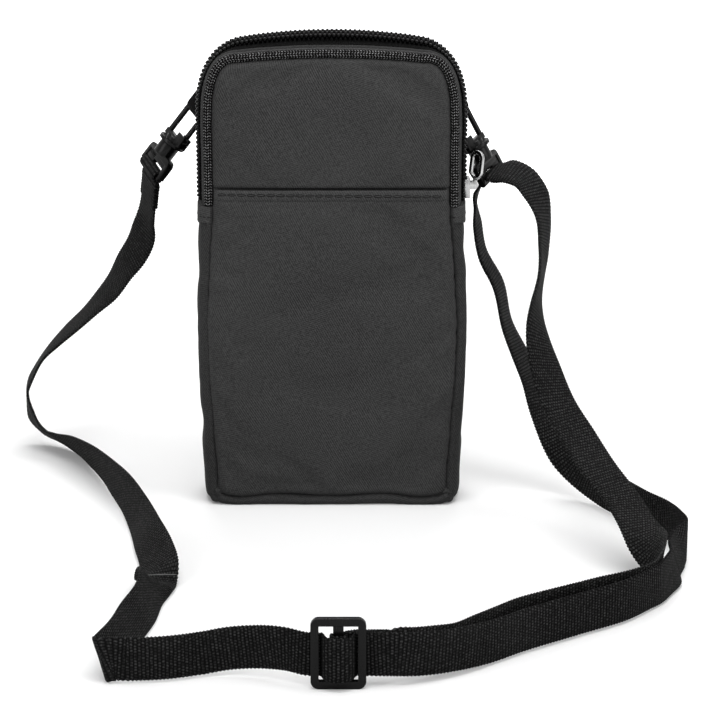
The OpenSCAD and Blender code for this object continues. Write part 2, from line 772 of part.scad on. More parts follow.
// Routes of the strap. Each row is a point of the centre line and the direction across the webbing.
route_left = [
  [-77, 27, 119, -4, 9, 3],
  [-78, 30, 113, -4, 8, 4],
  [-80, 33, 104, -6, 7, 5],
  [-83, 36, 97, -5, 7, 6],
  [-89, 40, 88, -4, 8, 5],
  [-95, 45, 78, -2, 8, 5],
  [-102, 49, 70, 0, 9, 5],
  [-110, 54, 61, 1, 9, 4],
  [-119, 59, 52, 1, 9, 3],
  [-127, 63, 43, 1, 10, 2],
  [-133, 65, 33, 0, 10, 2],
  [-136, 66, 26, -1, 10, 1],
  [-136, 66, 20, -2, 10, -2],
  [-135, 64, 15, -2, 8, -5],
  [-131, 61, 10, 0, 8, -6],
  [-125, 56, 7, 2, 8, -5],
  [-118, 48, 6, 4, 5, -6],
  [-108, 29, 8, 4, 2, -9],
  [-99, 10, 9, 2, 1, -10],
  [-92, -7, 9, 0, 0, -10],
  [-84, -28, 9, -2, -1, -10],
  [-77, -51, 8, -4, -1, -9],
  [-72, -72, 8, -6, -1, -8],
  [-67, -90, 6, -8, -1, -6],
  [-65, -101, 4, -9, 0, -4],
  [-66, -108, 2, -10, 0, 1],
  [-66, -115, 5, -8, 0, 5],
  [-66, -123, 7, -6, 1, 8],
  [-67, -146, 8, -4, 1, 9],
  [-70, -161, 8, -4, 1, 9],
  [-74, -182, 8, -3, 1, 9],
  [-77, -192, 8, -3, 0, 9],
  [-78, -195, 8, -3, 0, 10],
  [-77, -197, 8, -2, 0, 10],
  [-75, -198, 9, -1, 0, 10],
  [-68, -198, 9, 0, 0, 10],
  [-57, -197, 9, 0, 0, 10],
  [-44, -193, 9, 0, 0, 10],
  [-34, -191, 10, 0, 0, 10],
  [-24, -192, 11, 0, 0, 10],
  [-15, -196, 12, 0, 0, 10]];
route_right = [
  [23, -201, 12, 0, 0, 10],
  [33, -198, 11, 0, 0, 10],
  [46, -191, 10, 0, 0, 10],
  [56, -183, 9, 0, 0, 10],
  [68, -173, 9, 0, 0, 10],
  [90, -157, 9, 0, 0, 10],
  [110, -142, 9, 0, 0, 10],
  [117, -134, 9, 0, 0, 10],
  [122, -128, 9, -1, -1, 10],
  [126, -120, 9, -2, -2, 10],
  [130, -110, 9, -3, -3, 9],
  [131, -101, 9, -3, -2, 9],
  [134, -91, 9, -3, -1, 9],
  [138, -81, 9, 0, 0, 10],
  [137, -70, 9, 0, 0, 10],
  [133, -58, 9, 0, 0, 10],
  [127, -48, 9, 0, 0, 10],
  [118, -32, 9, 1, 1, 10],
  [110, -18, 9, 0, 0, 10],
  [102, -6, 14, 2, 2, 9],
  [95, 3, 23, 5, 5, 5],
  [89, 10, 34, 6, 7, 2],
  [84, 15, 45, 5, 9, 0],
  [79, 18, 56, 4, 9, 0],
  [74, 21, 67, 3, 10, 0],
  [70, 24, 84, 3, 10, 0],
  [63, 25, 98, 2, 10, 1],
  [61, 26, 109, 2, 10, 2],
  [60, 26, 119, 1, 10, 2],
  [61, 25, 125, 3, 10, 2],
  [64, 23, 130, 4, 9, 2]];
route_sewn = [
  [68, 21, 133, 4, 9, 3],
  [73, 18, 134, 3, 9, 4],
  [79, 15, 132, 3, 9, 4],
  [84, 11, 126, 5, 9, 3],
  [87, 7, 116, 4, 9, -1],
  [87, 3, 105, 3, 9, -2],
  [86, -2, 96, 2, 9, -2],
  [84, -9, 84, 3, 9, -1],
  [84, -18, 73, 5, 8, 0],
  [87, -28, 61, 7, 7, 1],
  [91, -37, 51, 8, 6, 1],
  [98, -48, 41, 8, 5, 1],
  [105, -61, 32, 8, 5, 1],
  [113, -74, 24, 8, 6, 1],
  [118, -87, 18, 5, 7, 2],
  [122, -99, 13, 3, 6, 6],
  [124, -110, 10, 2, 2, 10],
  [123, -119, 9, 0, 0, 10],
  [120, -126, 9, 0, 0, 10],
  [115, -131, 9, 0, 0, 10],
  [108, -136, 9, 0, 0, 10],
  [99, -141, 9, 0, 0, 10],
  [88, -148, 9, 0, 0, 10],
  [77, -155, 9, 0, 0, 10],
  [67, -162, 9, 0, 0, 10],
  [59, -170, 9, 0, 0, 10],
  [51, -178, 9, 0, 0, 10],
  [44, -185, 9, 0, 0, 10]];
route_slack = [
  [43, -186, 9, 0, 0, 10],
  [36, -190, 10, 0, 0, 10],
  [29, -194, 11, 0, 0, 10],
  [23, -197, 12, 0, 0, 10]];
function unit3(a) = a / norm(a);
function spot(r) = [r[0], r[1], r[2]];
function route_tangent(r, i) = unit3(spot(r[min(i + 1, len(r) - 1)]) - spot(r[max(i - 1, 0)]));
function route_across(r, i) = let (t = route_tangent(r, i), w = [r[i][3], r[i][4], r[i][5]]) unit3(w - (w * t) * t);
strap_chamfer = strap_t / 4;
strap_section = [
  [strap_w / 2, -strap_t / 2 + strap_chamfer], [strap_w / 2, strap_t / 2 - strap_chamfer],
  [strap_w / 2 - strap_chamfer, strap_t / 2], [-strap_w / 2 + strap_chamfer, strap_t / 2],
  [-strap_w / 2, strap_t / 2 - strap_chamfer], [-strap_w / 2, -strap_t / 2 + strap_chamfer],
  [-strap_w / 2 + strap_chamfer, -strap_t / 2], [strap_w / 2 - strap_chamfer, -strap_t / 2]];
module webbing(r) {
  n = len(r);
  m = len(strap_section);
  pts = [for (i = [0:n - 1])
    let (t = route_tangent(r, i), w = route_across(r, i), u = cross(t, w))
    for (s = strap_section) spot(r[i]) + w * s[0] + u * s[1]];
  // Both broad faces are split along the same diagonal, so a twisted stretch keeps its thickness.
  walls = [for (i = [0:n - 2]) for (j = [0:m - 1]) let (k = (j + 1) % m)
    each j < m / 2
      ? [[i * m + j, (i + 1) * m + k, i * m + k], [i * m + j, (i + 1) * m + j, (i + 1) * m + k]]
      : [[i * m + j, (i + 1) * m + j, i * m + k], [i * m + k, (i + 1) * m + j, (i + 1) * m + k]]];
  starts = [for (j = [1:m - 2]) [0, j, j + 1]];
  ends = [for (j = [1:m - 2]) [(n - 1) * m, (n - 1) * m + j + 1, (n - 1) * m + j]];
  color(webbing_black)
    polyhedron(points = pts, faces = concat(walls, starts, ends), convexity = 8);
}
module strap_long_left() {
  webbing(route_left);
}
module strap_long_right() {
  webbing(route_right);
}
module strap_sewn_run() {
  webbing(route_sewn);
}
module strap_slack() {
  webbing(route_slack);
}

back_panel();
back_foam();
back_lining();
lower_gusset();
front_panel_lower();
front_foam();
front_lining();
front_pocket();
pocket_hem();
rear_gusset();
zip_tape_rear();
zip_coil_rear();
zip_end_tab(-1);  // zip_end_tab_left
zip_end_tab(1);  // zip_end_tab_right
zip_foot(-1);  // zip_foot_left
zip_foot(1);  // zip_foot_right
front_panel_upper();
flap_foam();
flap_lining();
front_binding();
top_gusset();
zip_tape_front();
zip_coil_front();
zip_slider();
zip_pull();
strap_loop(-1);  // strap_loop_left
strap_loop(1);  // strap_loop_right
swivel_eye(-1);  // swivel_eye_left
swivel_eye(1);  // swivel_eye_right
hook(-1);  // hook_left
hook(1);  // hook_right
gate(-1);  // gate_left
gate(1);  // gate_right
tri_glide();
strap_end_left();
strap_turn_right();
strap_long_left();
strap_weave();
strap_long_right();
strap_sewn_run();
strap_slack();
strap_sewn_end();
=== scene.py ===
import json
import math

import bmesh
import bpy
import numpy as np
from mathutils import Matrix, Vector, noise


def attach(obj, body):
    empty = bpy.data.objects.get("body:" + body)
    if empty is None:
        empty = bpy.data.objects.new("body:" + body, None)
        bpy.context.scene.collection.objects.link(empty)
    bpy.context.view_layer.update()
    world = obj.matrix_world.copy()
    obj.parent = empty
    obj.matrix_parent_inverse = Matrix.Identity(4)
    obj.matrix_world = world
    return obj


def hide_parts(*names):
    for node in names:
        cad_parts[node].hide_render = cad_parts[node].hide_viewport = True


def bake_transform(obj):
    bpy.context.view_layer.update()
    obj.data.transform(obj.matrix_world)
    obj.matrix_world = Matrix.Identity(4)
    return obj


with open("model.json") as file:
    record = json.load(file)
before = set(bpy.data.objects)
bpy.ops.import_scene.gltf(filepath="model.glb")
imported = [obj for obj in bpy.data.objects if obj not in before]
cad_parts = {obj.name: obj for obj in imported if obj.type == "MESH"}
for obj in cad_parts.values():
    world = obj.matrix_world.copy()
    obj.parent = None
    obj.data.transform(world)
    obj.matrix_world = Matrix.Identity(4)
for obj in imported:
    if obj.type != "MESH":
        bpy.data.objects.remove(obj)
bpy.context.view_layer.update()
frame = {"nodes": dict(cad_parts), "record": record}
bpy.ops.object.select_all(action="DESELECT")
scene = bpy.context.scene

# Camera at the photograph's viewing angle. The focal length is in pixels of a frame this wide.
frame_px, focal_px, sensor_w = 705, 2405, 36
camera_data = bpy.data.cameras.new("camera")
camera = bpy.data.objects.new("camera", camera_data)
scene.collection.objects.link(camera)
camera.location = (0.0085, -0.959, 0.3362)
camera.rotation_euler = (math.radians(74), 0, 0)
camera_data.sensor_width = sensor_w
camera_data.lens = focal_px / frame_px * sensor_w
camera_data.clip_end = 20
scene.camera = camera

# Sizes in millimetres, as in the part's source where it has them too
MM = 0.001
body_w, body_d, body_h = 110, 30, 192
half_w = body_w / 2
top_corner_w, top_corner_h, bottom_corner_r, top_crown = 20, 28, 4.6, 1.6
upper_half, bottom_half = half_w * 0.969, half_w * 0.96
flat_top_half = upper_half - top_corner_w
corner_start_z = body_h - top_crown - top_corner_h
seam_inset = 5.7
zip_end_z, fold_z = 126.5, 134.5
pocket_h, hem_h = 133.5, 4.2
front_y, back_y = -body_d / 2, body_d / 2
zip_y = 3
coil_half, tooth_pitch = 1.3, 1.83
strap_w, strap_t, rib_pitch = 16, 1.2, 1.35
# How far the cloth stands out past the plain outline: under the base, at the right side, at the upper
# corners and over the middle of the zip
base_full, side_full, corner_full, zip_full = 2.0, 1.7, 1.4, 1.5


def lengths(points):
    """How far along a line each of its points lies."""
    return np.concatenate([[0], np.cumsum(np.linalg.norm(np.diff(points, axis=0), axis=1))])


def at_length(s, values, at):
    """A line's values at some length along it, or at several, where s has the lengths of its points."""
    return np.stack([np.interp(at, s, column) for column in values.T], axis=-1)


def smooth_line(points, step, key=3):
    """A smooth line through the points, cut about a step apart. The first key columns are its place."""
    p = np.array(points, float)
    d = lengths(p[:, :key])
    m = np.zeros_like(p)
    m[0] = (p[1] - p[0]) / (d[1] - d[0])
    m[-1] = (p[-1] - p[-2]) / (d[-1] - d[-2])
    for i in range(1, len(p) - 1):
        a, b = d[i] - d[i - 1], d[i + 1] - d[i]
        m[i] = ((p[i] - p[i - 1]) / a * b + (p[i + 1] - p[i]) / b * a) / (a + b)
    n = max(2, int(round(d[-1] / step)) + 1)
    at = np.linspace(0, d[-1], n)
    k = np.clip(np.searchsorted(d, at, side="right") - 1, 0, len(p) - 2)
    h = (d[k + 1] - d[k])[:, None]
    t = ((at - d[k]) / (d[k + 1] - d[k]))[:, None]
    return ((2 * t ** 3 - 3 * t ** 2 + 1) * p[k] + (t ** 3 - 2 * t ** 2 + t) * h * m[k]
            + (3 * t ** 2 - 2 * t ** 3) * p[k + 1] + (t ** 3 - t ** 2) * h * m[k + 1])


def even(points, count):
    """The line cut again into that many points, evenly spaced."""
    p = np.array(points, float)
    s = lengths(p)
    return at_length(s, p, np.linspace(0, s[-1], count))


def unit(v):
    v = np.array(v, float)
    return v / np.maximum(np.linalg.norm(v, axis=-1, keepdims=True), 1e-12)


def mesh_piece(name, verts, faces, uv=None, outward=True):
    """A mesh object from points in millimetres, with an optional map in millimetres for the weave."""
    me = bpy.data.meshes.new(name)
    me.from_pydata((np.array(verts) * MM).tolist(), [], faces)
    if uv is not None:
        layer = me.uv_layers.new(name="Weave")
        index = np.zeros(len(me.loops), np.int32)
        me.loops.foreach_get("vertex_index", index)
        layer.uv.foreach_set("vector", np.array(uv, np.float32)[index].ravel())
    me.update()
    if outward:
        bm = bmesh.new()
        bm.from_mesh(me)
        bmesh.ops.recalc_face_normals(bm, faces=bm.faces)
        bm.to_mesh(me)
        bm.free()
    me.polygons.foreach_set("use_smooth", [True] * len(me.polygons))
    ob = bpy.data.objects.new(name, me)
    scene.collection.objects.link(ob)
    return ob


def paint(ob, material):
    ob.data.materials.clear()
    ob.data.materials.append(material)
    return ob


def pick(ob):
    bpy.ops.object.select_all(action="DESELECT")
    ob.select_set(True)
    bpy.context.view_layer.objects.active = ob


def sharp_by_angle(ob, degrees):
    pick(ob)
    bpy.ops.object.shade_smooth_by_angle(angle=math.radians(degrees))
    ob.select_set(False)


def apply_modifier(ob, kind, **settings):
    pick(ob)
    mod = ob.modifiers.new(kind.title(), kind)
    for key, value in settings.items():
        setattr(mod, key, value)
    bpy.ops.object.modifier_apply(modifier=mod.name)
    ob.select_set(False)


# Outline of the pouch, seen from the front: points of the right half, from the base's middle to the top's
side_shares = [(0.09, 0.972), (0.17, 0.985), (0.3, 1), (0.45, 1), (0.55, 0.99)]
half_outline = [(0, 0), (0.5 * (bottom_half - bottom_corner_r), 0)]
half_outline += [(bottom_half - bottom_corner_r * (1 - math.sin(math.radians(a))),
                  bottom_corner_r * (1 - math.cos(math.radians(a)))) for a in (0, 22.5, 45, 67.5, 90)]
half_outline += [(half_w * s, body_h * z) for z, s in side_shares]
half_outline += [(upper_half, zip_end_z), (upper_half, fold_z), (upper_half, 148)]
half_outline += [(flat_top_half + top_corner_w * math.cos(math.radians(a)) ** 0.9,
                  corner_start_z + top_corner_h * math.sin(math.radians(a)) ** 0.9)
                 for a in (0, 15, 30, 45, 60, 75, 89.9)]
half_outline += [(s * flat_top_half, body_h - top_crown * s * s) for s in (0.66, 0.33)] + [(0, body_h)]
right_line = smooth_line(half_outline, 0.5, key=2)
outline = np.concatenate([right_line, (right_line * [-1, 1])[::-1][1:]])


def normals_of(line):
    t = unit(np.gradient(line, axis=0))
    return np.stack([t[:, 1], -t[:, 0]], axis=1)


outline_n = normals_of(outline)
top_index = len(right_line) - 1


def run_from(height, upper, step):
    """Points and outward normals of the outline from side to side, over the top or under the base."""
    a = [i for i in range(top_index) if outline[i][1] <= height][-1]
    b = [i for i in range(top_index, len(outline)) if outline[i][1] >= height][-1]
    pts = outline[a:b + 1] if upper else np.concatenate([outline[b:], outline[1:a + 1]])
    pts = even(pts, int(lengths(pts)[-1] / step) + 1)
    return pts, normals_of(pts)


def ripple(x, y, z, scale, seed=0.0):
    return noise.noise(Vector((x / scale + seed, y / scale - seed, z / scale + 0.37 * seed)))


def drape(pts, n, y):
    """How much further in the cloth lies at that depth than the plain outline: less than nothing where it is
    fuller, and a little wavy along the front seam."""
    full_half, fade, side_z, side_spread, arch_half, corner_y = 38, 12, 75, 36, 44, -3
    across, up = pts[:, 0], pts[:, 1]
    down = np.maximum(0, -n[:, 1]) ** 2 * (1 - 0.6 * np.clip((np.abs(across) - full_half) / fade, 0, 1))
    rise = np.maximum(0, n[:, 1])
    front = min(1.0, max(0.0, (corner_y - y) / 10))

    def near(place, spread):
        return math.exp(-((y - place) / spread) ** 2)

    wave = np.array([ripple(x, 0, z, 13, 31.0) for x, z in pts]) * 0.9 * near(front_y, 2.5)
    low_sides = 0.45 * np.clip((118 - up) / 20, 0, 1) * (1 - down)
    return (wave * (down + low_sides) - base_full * down * near(front_y, 3.8)
            - side_full * np.maximum(0, n[:, 0]) * np.exp(-((up - side_z) / side_spread) ** 2)
            * near(front_y, 3.5)
            - corner_full * 4 * n[:, 0] ** 2 * rise ** 2 * front
            - zip_full * rise ** 4 * np.maximum(0, 1 - (across / arch_half) ** 2) * near(zip_y, 8))


def swept(run, profile, wobble=None):
    """A grid of points: the profile of (depth, inset) points carried along a run of the outline."""
    pts, n = run
    grid = np.zeros((len(pts), len(profile), 3))
    for j, (y, inset) in enumerate(profile):
        extra = 0 if wobble is None else wobble(pts, y, j / (len(profile) - 1))
        ins = inset + extra + drape(pts, n, y)
        grid[:, j, 0] = pts[:, 0] - n[:, 0] * ins
        grid[:, j, 1] = y
        grid[:, j, 2] = pts[:, 1] - n[:, 1] * ins
    return grid


def shell(name, outer, thick, flip=False):
    """A closed sheet of cloth from a grid of points on its outer side."""
    n, m = outer.shape[:2]
    du, dv = np.gradient(outer, axis=0), np.gradient(outer, axis=1)
    nor = unit(np.cross(du, dv)) * (-1 if flip else 1)
    inner = outer - nor * thick
    verts = np.concatenate([outer.reshape(-1, 3), inner.reshape(-1, 3)])
    size = n * m
    at = lambda i, j: i * m + j
    rim = lambda a, b: (b, a, size + a, size + b)
    faces = []
    for i in range(n - 1):
        for j in range(m - 1):
            a, b, c, d = at(i, j), at(i + 1, j), at(i + 1, j + 1), at(i, j + 1)
            faces += [(a, b, c, d), (size + d, size + c, size + b, size + a)]
    for i in range(n - 1):
        faces += [rim(at(i, 0), at(i + 1, 0)), rim(at(i + 1, m - 1), at(i, m - 1))]
    for j in range(m - 1):
        faces += [rim(at(0, j + 1), at(0, j)), rim(at(n - 1, j), at(n - 1, j + 1))]
    along, across = lengths(outer[:, m // 2]), lengths(outer[n // 2])
    uv = np.stack(np.meshgrid(along, across, indexing="ij"), axis=-1).reshape(-1, 2)
    return mesh_piece(name, verts, faces, np.concatenate([uv, uv]))


def ribbon(name, rows, step=rib_pitch / 2, ribs=0.2, first=None, last=None):
    """Webbing along rows of place and across direction, or the stretch of it between two places. Its ribs
    stand out a little at both edges, and the weave runs on from one stretch to the next."""
    line = smooth_line(rows, step)
    place = line[:, :3]
    along = unit(np.gradient(place, axis=0))
    across = line[:, 3:6]
    across = unit(across - along * (across * along).sum(axis=1, keepdims=True))
    up = np.cross(along, across)
    s = lengths(place)
    wave = np.where(np.arange(len(s)) % 2 == 0, 1.0, -1.0)
    near = lambda spot: int(np.linalg.norm(place - np.array(spot), axis=1).argmin())
    a = 0 if first is None else near(first)
    b = len(s) if last is None else near(last) + 1
    place, along, across, up, s, wave = (part[a:b] for part in (place, along, across, up, s, wave))
    h, t = strap_w / 2, strap_t / 2
    section = [(-1, 0), (-0.97, 0.8), (-0.6, 1), (0, 1), (0.6, 1), (0.97, 0.8), (1, 0),
              (0.97, -0.8), (0.6, -1), (0, -1), (-0.6, -1), (-0.97, -0.8)]
    m = len(section)
    verts = np.zeros((len(s), m, 3))
    uv = np.zeros((len(s), m, 2))
    for k, (side, rise) in enumerate(section):
        verts[:, k] = (place + across * (side * (h + ribs * wave * abs(side) ** 6))[:, None]
                       + up * (rise * t * (1 + ribs * 0.3 * wave))[:, None])
        uv[:, k, 0] = s
        uv[:, k, 1] = side * h
    faces = []
    for i in range(len(s) - 1):
        for k in range(m):
            q = (k + 1) % m
            faces.append((i * m + k, i * m + q, (i + 1) * m + q, (i + 1) * m + k))
    faces += [tuple(range(m))[::-1], tuple((len(s) - 1) * m + k for k in range(m))]
    return mesh_piece(name, verts.reshape(-1, 3), faces, uv.reshape(-1, 2)), place * MM


# Routes of the strap, as in the part's source: place and direction across the webbing
route_left = [
    (-77, 27, 119, -4, 9, 3), (-78, 30, 113, -4, 8, 4), (-80, 33, 104, -6, 7, 5), (-83, 36, 97, -5, 7, 6),
    (-89, 40, 88, -4, 8, 5), (-95, 45, 78, -2, 8, 5), (-102, 49, 70, 0, 9, 5), (-110, 54, 61, 1, 9, 4),
    (-119, 59, 52, 1, 9, 3), (-127, 63, 43, 1, 10, 2), (-133, 65, 33, 0, 10, 2), (-136, 66, 26, -1, 10, 1),
    (-136, 66, 20, -2, 10, -2), (-135, 64, 15, -2, 8, -5), (-131, 61, 10, 0, 8, -6), (-125, 56, 7, 2, 8, -5),
    (-118, 48, 6, 4, 5, -6), (-108, 29, 8, 4, 2, -9), (-99, 10, 9, 2, 1, -10), (-92, -7, 9, 0, 0, -10),
    (-84, -28, 9, -2, -1, -10), (-77, -51, 8, -4, -1, -9), (-72, -72, 8, -6, -1, -8),
    (-67, -90, 6, -8, -1, -6), (-65, -101, 4, -9, 0, -4), (-66, -108, 2, -10, 0, 1),
    (-66, -115, 5, -8, 0, 5), (-66, -123, 7, -6, 1, 8), (-67, -146, 8, -4, 1, 9),
    (-70, -161, 8, -4, 1, 9), (-74, -182, 8, -3, 1, 9), (-77, -192, 8, -3, 0, 9),
    (-78, -195, 8, -3, 0, 10), (-77, -197, 8, -2, 0, 10), (-75, -198, 9, -1, 0, 10),
    (-68, -198, 9, 0, 0, 10), (-57, -197, 9, 0, 0, 10), (-44, -193, 9, 0, 0, 10),
    (-34, -191, 10, 0, 0, 10), (-24, -192, 11, 0, 0, 10), (-15, -196, 12, 0, 0, 10)]
route_right = [
    (23, -201, 12, 0, 0, 10), (33, -198, 11, 0, 0, 10), (46, -191, 10, 0, 0, 10), (56, -183, 9, 0, 0, 10),
    (68, -173, 9, 0, 0, 10), (90, -157, 9, 0, 0, 10), (110, -142, 9, 0, 0, 10), (117, -134, 9, 0, 0, 10),
    (122, -128, 9, -1, -1, 10), (126, -120, 9, -2, -2, 10), (130, -110, 9, -3, -3, 9),
    (131, -101, 9, -3, -2, 9),
    (134, -91, 9, -3, -1, 9), (138, -81, 9, 0, 0, 10), (137, -70, 9, 0, 0, 10), (133, -58, 9, 0, 0, 10),
    (127, -48, 9, 0, 0, 10), (118, -32, 9, 1, 1, 10), (110, -18, 9, 0, 0, 10), (102, -6, 14, 2, 2, 9),
    (95, 3, 23, 5, 5, 5), (89, 10, 34, 6, 7, 2), (84, 15, 45, 5, 9, 0), (79, 18, 56, 4, 9, 0),
    (74, 21, 67, 3, 10, 0), (70, 24, 84, 3, 10, 0), (63, 25, 98, 2, 10, 1), (61, 26, 109, 2, 10, 2),
    (60, 26, 119, 1, 10, 2), (61, 25, 125, 3, 10, 2), (64, 23, 130, 4, 9, 2)]
route_sewn = [
    (68, 21, 133, 4, 9, 3), (73, 18, 134, 3, 9, 4), (79, 15, 132, 3, 9, 4), (84, 11, 126, 5, 9, 3),
    (87, 7, 116, 4, 9, -1), (87, 3, 105, 3, 9, -2), (86, -2, 96, 2, 9, -2), (84, -9, 84, 3, 9, -1),
    (84, -18, 73, 5, 8, 0), (87, -28, 61, 7, 7, 1), (91, -37, 51, 8, 6, 1), (98, -48, 41, 8, 5, 1),
    (105, -61, 32, 8, 5, 1), (113, -74, 24, 8, 6, 1), (118, -87, 18, 5, 7, 2), (122, -99, 13, 3, 6, 6),
    (124, -110, 10, 2, 2, 10), (123, -119, 9, 0, 0, 10), (120, -126, 9, 0, 0, 10), (115, -131, 9, 0, 0, 10),
    (108, -136, 9, 0, 0, 10), (99, -141, 9, 0, 0, 10), (88, -148, 9, 0, 0, 10), (77, -155, 9, 0, 0, 10),
    (67, -162, 9, 0, 0, 10), (59, -170, 9, 0, 0, 10), (51, -178, 9, 0, 0, 10), (44, -185, 9, 0, 0, 10)]
route_slack = [
    (43, -186, 9, 0, 0, 10), (36, -190, 10, 0, 0, 10), (29, -194, 11, 0, 0, 10), (23, -197, 12, 0, 0, 10)]


# Finishes. A Field is a socket that Python's operators add Math nodes to.
class Field:
    def __init__(self, finish, socket):
        self.finish, self.socket = finish, socket

    def math(self, operation, *others):
        return self.finish.node("Math", dict(enumerate((self,) + others)), operation=operation)

    def __add__(self, other):
        return self.math("ADD", other)

    __radd__ = __add__

    def __mul__(self, other):
        return self.math("MULTIPLY", other)

    __rmul__ = __mul__

    def __sub__(self, other):
        return self.math("SUBTRACT", other)

    def __rsub__(self, other):
        return self.finish.node("Math", {0: other, 1: self}, operation="SUBTRACT")

    def __truediv__(self, other):
        return self.math("DIVIDE", other)

    def wave(self, period):
        return (self * (2 * math.pi / period)).math("SINE")

    def part(self):
        return self.math("FRACT")

    def size(self):
        return self.math("ABSOLUTE")

    def over(self, edge):
        return self.math("GREATER_THAN", edge)

    def floor(self):
        return self.math("FLOOR")

    def top(self, other):
        return self.math("MAXIMUM", other)

    def span(self, a, b, c=0.0, d=1.0):
        inputs = {"Value": self, "From Min": a, "From Max": b, "To Min": c, "To Max": d}
        return self.finish.node("MapRange", inputs, interpolation_type="SMOOTHSTEP")


class Finish:
    """The nodes of a material or of the world."""
    def __init__(self, owner):
        owner.use_nodes = True
        self.owner, self.tree = owner, owner.node_tree
        self.tree.nodes.clear()

    def node(self, kind, inputs=None, out=0, **settings):
        n = self.tree.nodes.new("ShaderNode" + kind)
        for key, value in settings.items():
            setattr(n, key, value)
        for key, value in (inputs or {}).items():
            if isinstance(value, Field):
                self.tree.links.new(value.socket, n.inputs[key])
            else:
                n.inputs[key].default_value = value
        return Field(self, n.outputs[out]) if len(n.outputs) else None

    def other(self, field, out):
        """Another output of the node that a field comes from."""
        return Field(self, field.socket.node.outputs[out])

    def weave_map(self):
        """The piece's own map: millimetres along and across the cloth."""
        split = self.node("SeparateXYZ", {0: self.node("UVMap", uv_map="Weave")})
        return split, self.other(split, 1)

    def place(self):
        return self.node("TexCoord", out=3)

    def cloud(self, scale, detail=3.0, rough=0.5, stretch=None):
        where = self.place()
        if stretch:
            where = self.node("Mapping", {0: where, "Scale": stretch})
        inputs = {"Vector": where, "Scale": scale, "Detail": detail, "Roughness": rough}
        return self.node("TexNoise", inputs)

    def blend(self, share, a, b):
        return self.node("Mix", {0: share, 6: a, 7: b}, 2, data_type="RGBA")

    def close(self, colour, rough, height=None, depth=0.0, strength=1.0, **plain):
        inputs = {"Base Color": colour, "Roughness": rough}
        inputs.update({k.replace("_", " "): v for k, v in plain.items()})
        if height is not None:
            bump = {"Height": height, "Distance": depth, "Strength": strength}
            inputs["Normal"] = self.node("Bump", bump)
        self.node("OutputMaterial", {"Surface": self.node("BsdfPrincipled", inputs)})
        return self.owner

    def seen_rays(self):
        """1 for rays from the camera, and for those in which metal and gloss show the backdrop."""
        camera_ray = self.node("LightPath")
        glossy, through = (self.other(camera_ray, "Is %s Ray" % kind) for kind in ("Glossy", "Transmission"))
        return camera_ray.top(glossy).top(through)


def new_finish(name):
    return Finish(bpy.data.materials.new(name))


def grey(level):
    return (level, level, level, 1.0)


def cloth_finish(name, dark, pale):
    """Dense twill: fine steep diagonal lines, a few thicker threads, paler where it is rubbed."""
    f = new_finish(name)
    u, v = f.weave_map()
    lines = (u * 0.5 + v * 0.87).wave(0.86)
    cross = (u * 0.94 - v * 0.34).wave(0.8)
    patch = f.cloud(60.0, 2.0)
    thread = lines * patch.span(0.3, 0.6) * 0.8 + cross * patch.span(0.62, 0.35) * 0.5
    slub = f.cloud(1300.0, 2.0)
    tone = f.cloud(16.0, 3.0)
    share = thread * 0.5 + 0.5 + (slub - 0.5) * 1.6 + (tone - 0.5) * 0.4
    colour = f.blend(share, grey(dark), grey(pale))
    return f.close(colour, 0.85 + (slub - 0.5) * 0.15, thread * 0.4 + slub * 0.8, 0.00011, 0.8,
                   Sheen_Weight=0.03, Sheen_Roughness=0.4, Specular_IOR_Level=0.1)


def herringbone_finish():
    """Woven band with rows of pale threads on black, slanting one way and then the other."""
    row_w, thread_pitch = 1.02, 1.15
    f = new_finish("herringbone_band")
    u, v = f.weave_map()
    row = v / row_w
    side = (row.floor() * 0.5).part().over(0.25) * 2 - 1
    slant = (row.part() - 0.5) * side
    run = (u / thread_pitch + slant * 0.7).part() - 0.5
    across = (row.part() - 0.5).size()
    thread = run.size().span(0.28, 0.08) * across.span(0.42, 0.16)
    worn = f.cloud(700.0, 2.0)
    share = thread * worn.span(0.35, 0.6, 0.3, 1.0)
    colour = f.blend(share, grey(0.001), grey(0.34))
    return f.close(colour, 0.8, thread + worn * 0.3, 0.0004, 1.0, Specular_IOR_Level=0.04)


def webbing_finish():
    """Ribbed black webbing, its ribs split into short floats across the width, the floats painted paler as a
    painted highlight.
    """
    float_w = 1.1
    f = new_finish("ribbed_webbing")
    u, v = f.weave_map()
    rib_at = u / rib_pitch
    rib = (rib_at.part() - 0.5).size().span(0.5, 0.1)
    step = (rib_at.floor() * 0.5).part().over(0.25) * 0.5
    float_relief_and_highlight = rib * ((v / float_w + step).part() - 0.5).size().span(0.5, 0.15)
    slub = f.cloud(1100.0, 2.0)
    tone = f.cloud(30.0, 3.0)
    # The floats' paler colour is a painted highlight on the raised ribs; the same mask also raises their bump
    share = float_relief_and_highlight * (slub.span(0.4, 0.65) * 0.9 + 0.25) + (tone - 0.5) * 0.25
    colour = f.blend(share.top(0.0), grey(0.001), grey(0.04))
    height = rib * 0.7 + float_relief_and_highlight * 0.5 + slub * 0.2
    return f.close(colour, 0.75 + (slub - 0.5) * 0.2, height, 0.00025, 0.9, Specular_IOR_Level=0.05)


def tape_finish():
    """The zip's flat black tape."""
    f = new_finish("zip_tape_weave")
    u, v = f.weave_map()
    rows = v.wave(0.8) * u.wave(0.9)
    slub = f.cloud(1200.0, 2.0)
    colour = f.blend(rows * 0.2 + slub * 0.5, grey(0.0008), grey(0.005))
    return f.close(colour, 0.85, rows + slub, 0.00015, 0.8, Specular_IOR_Level=0.02)


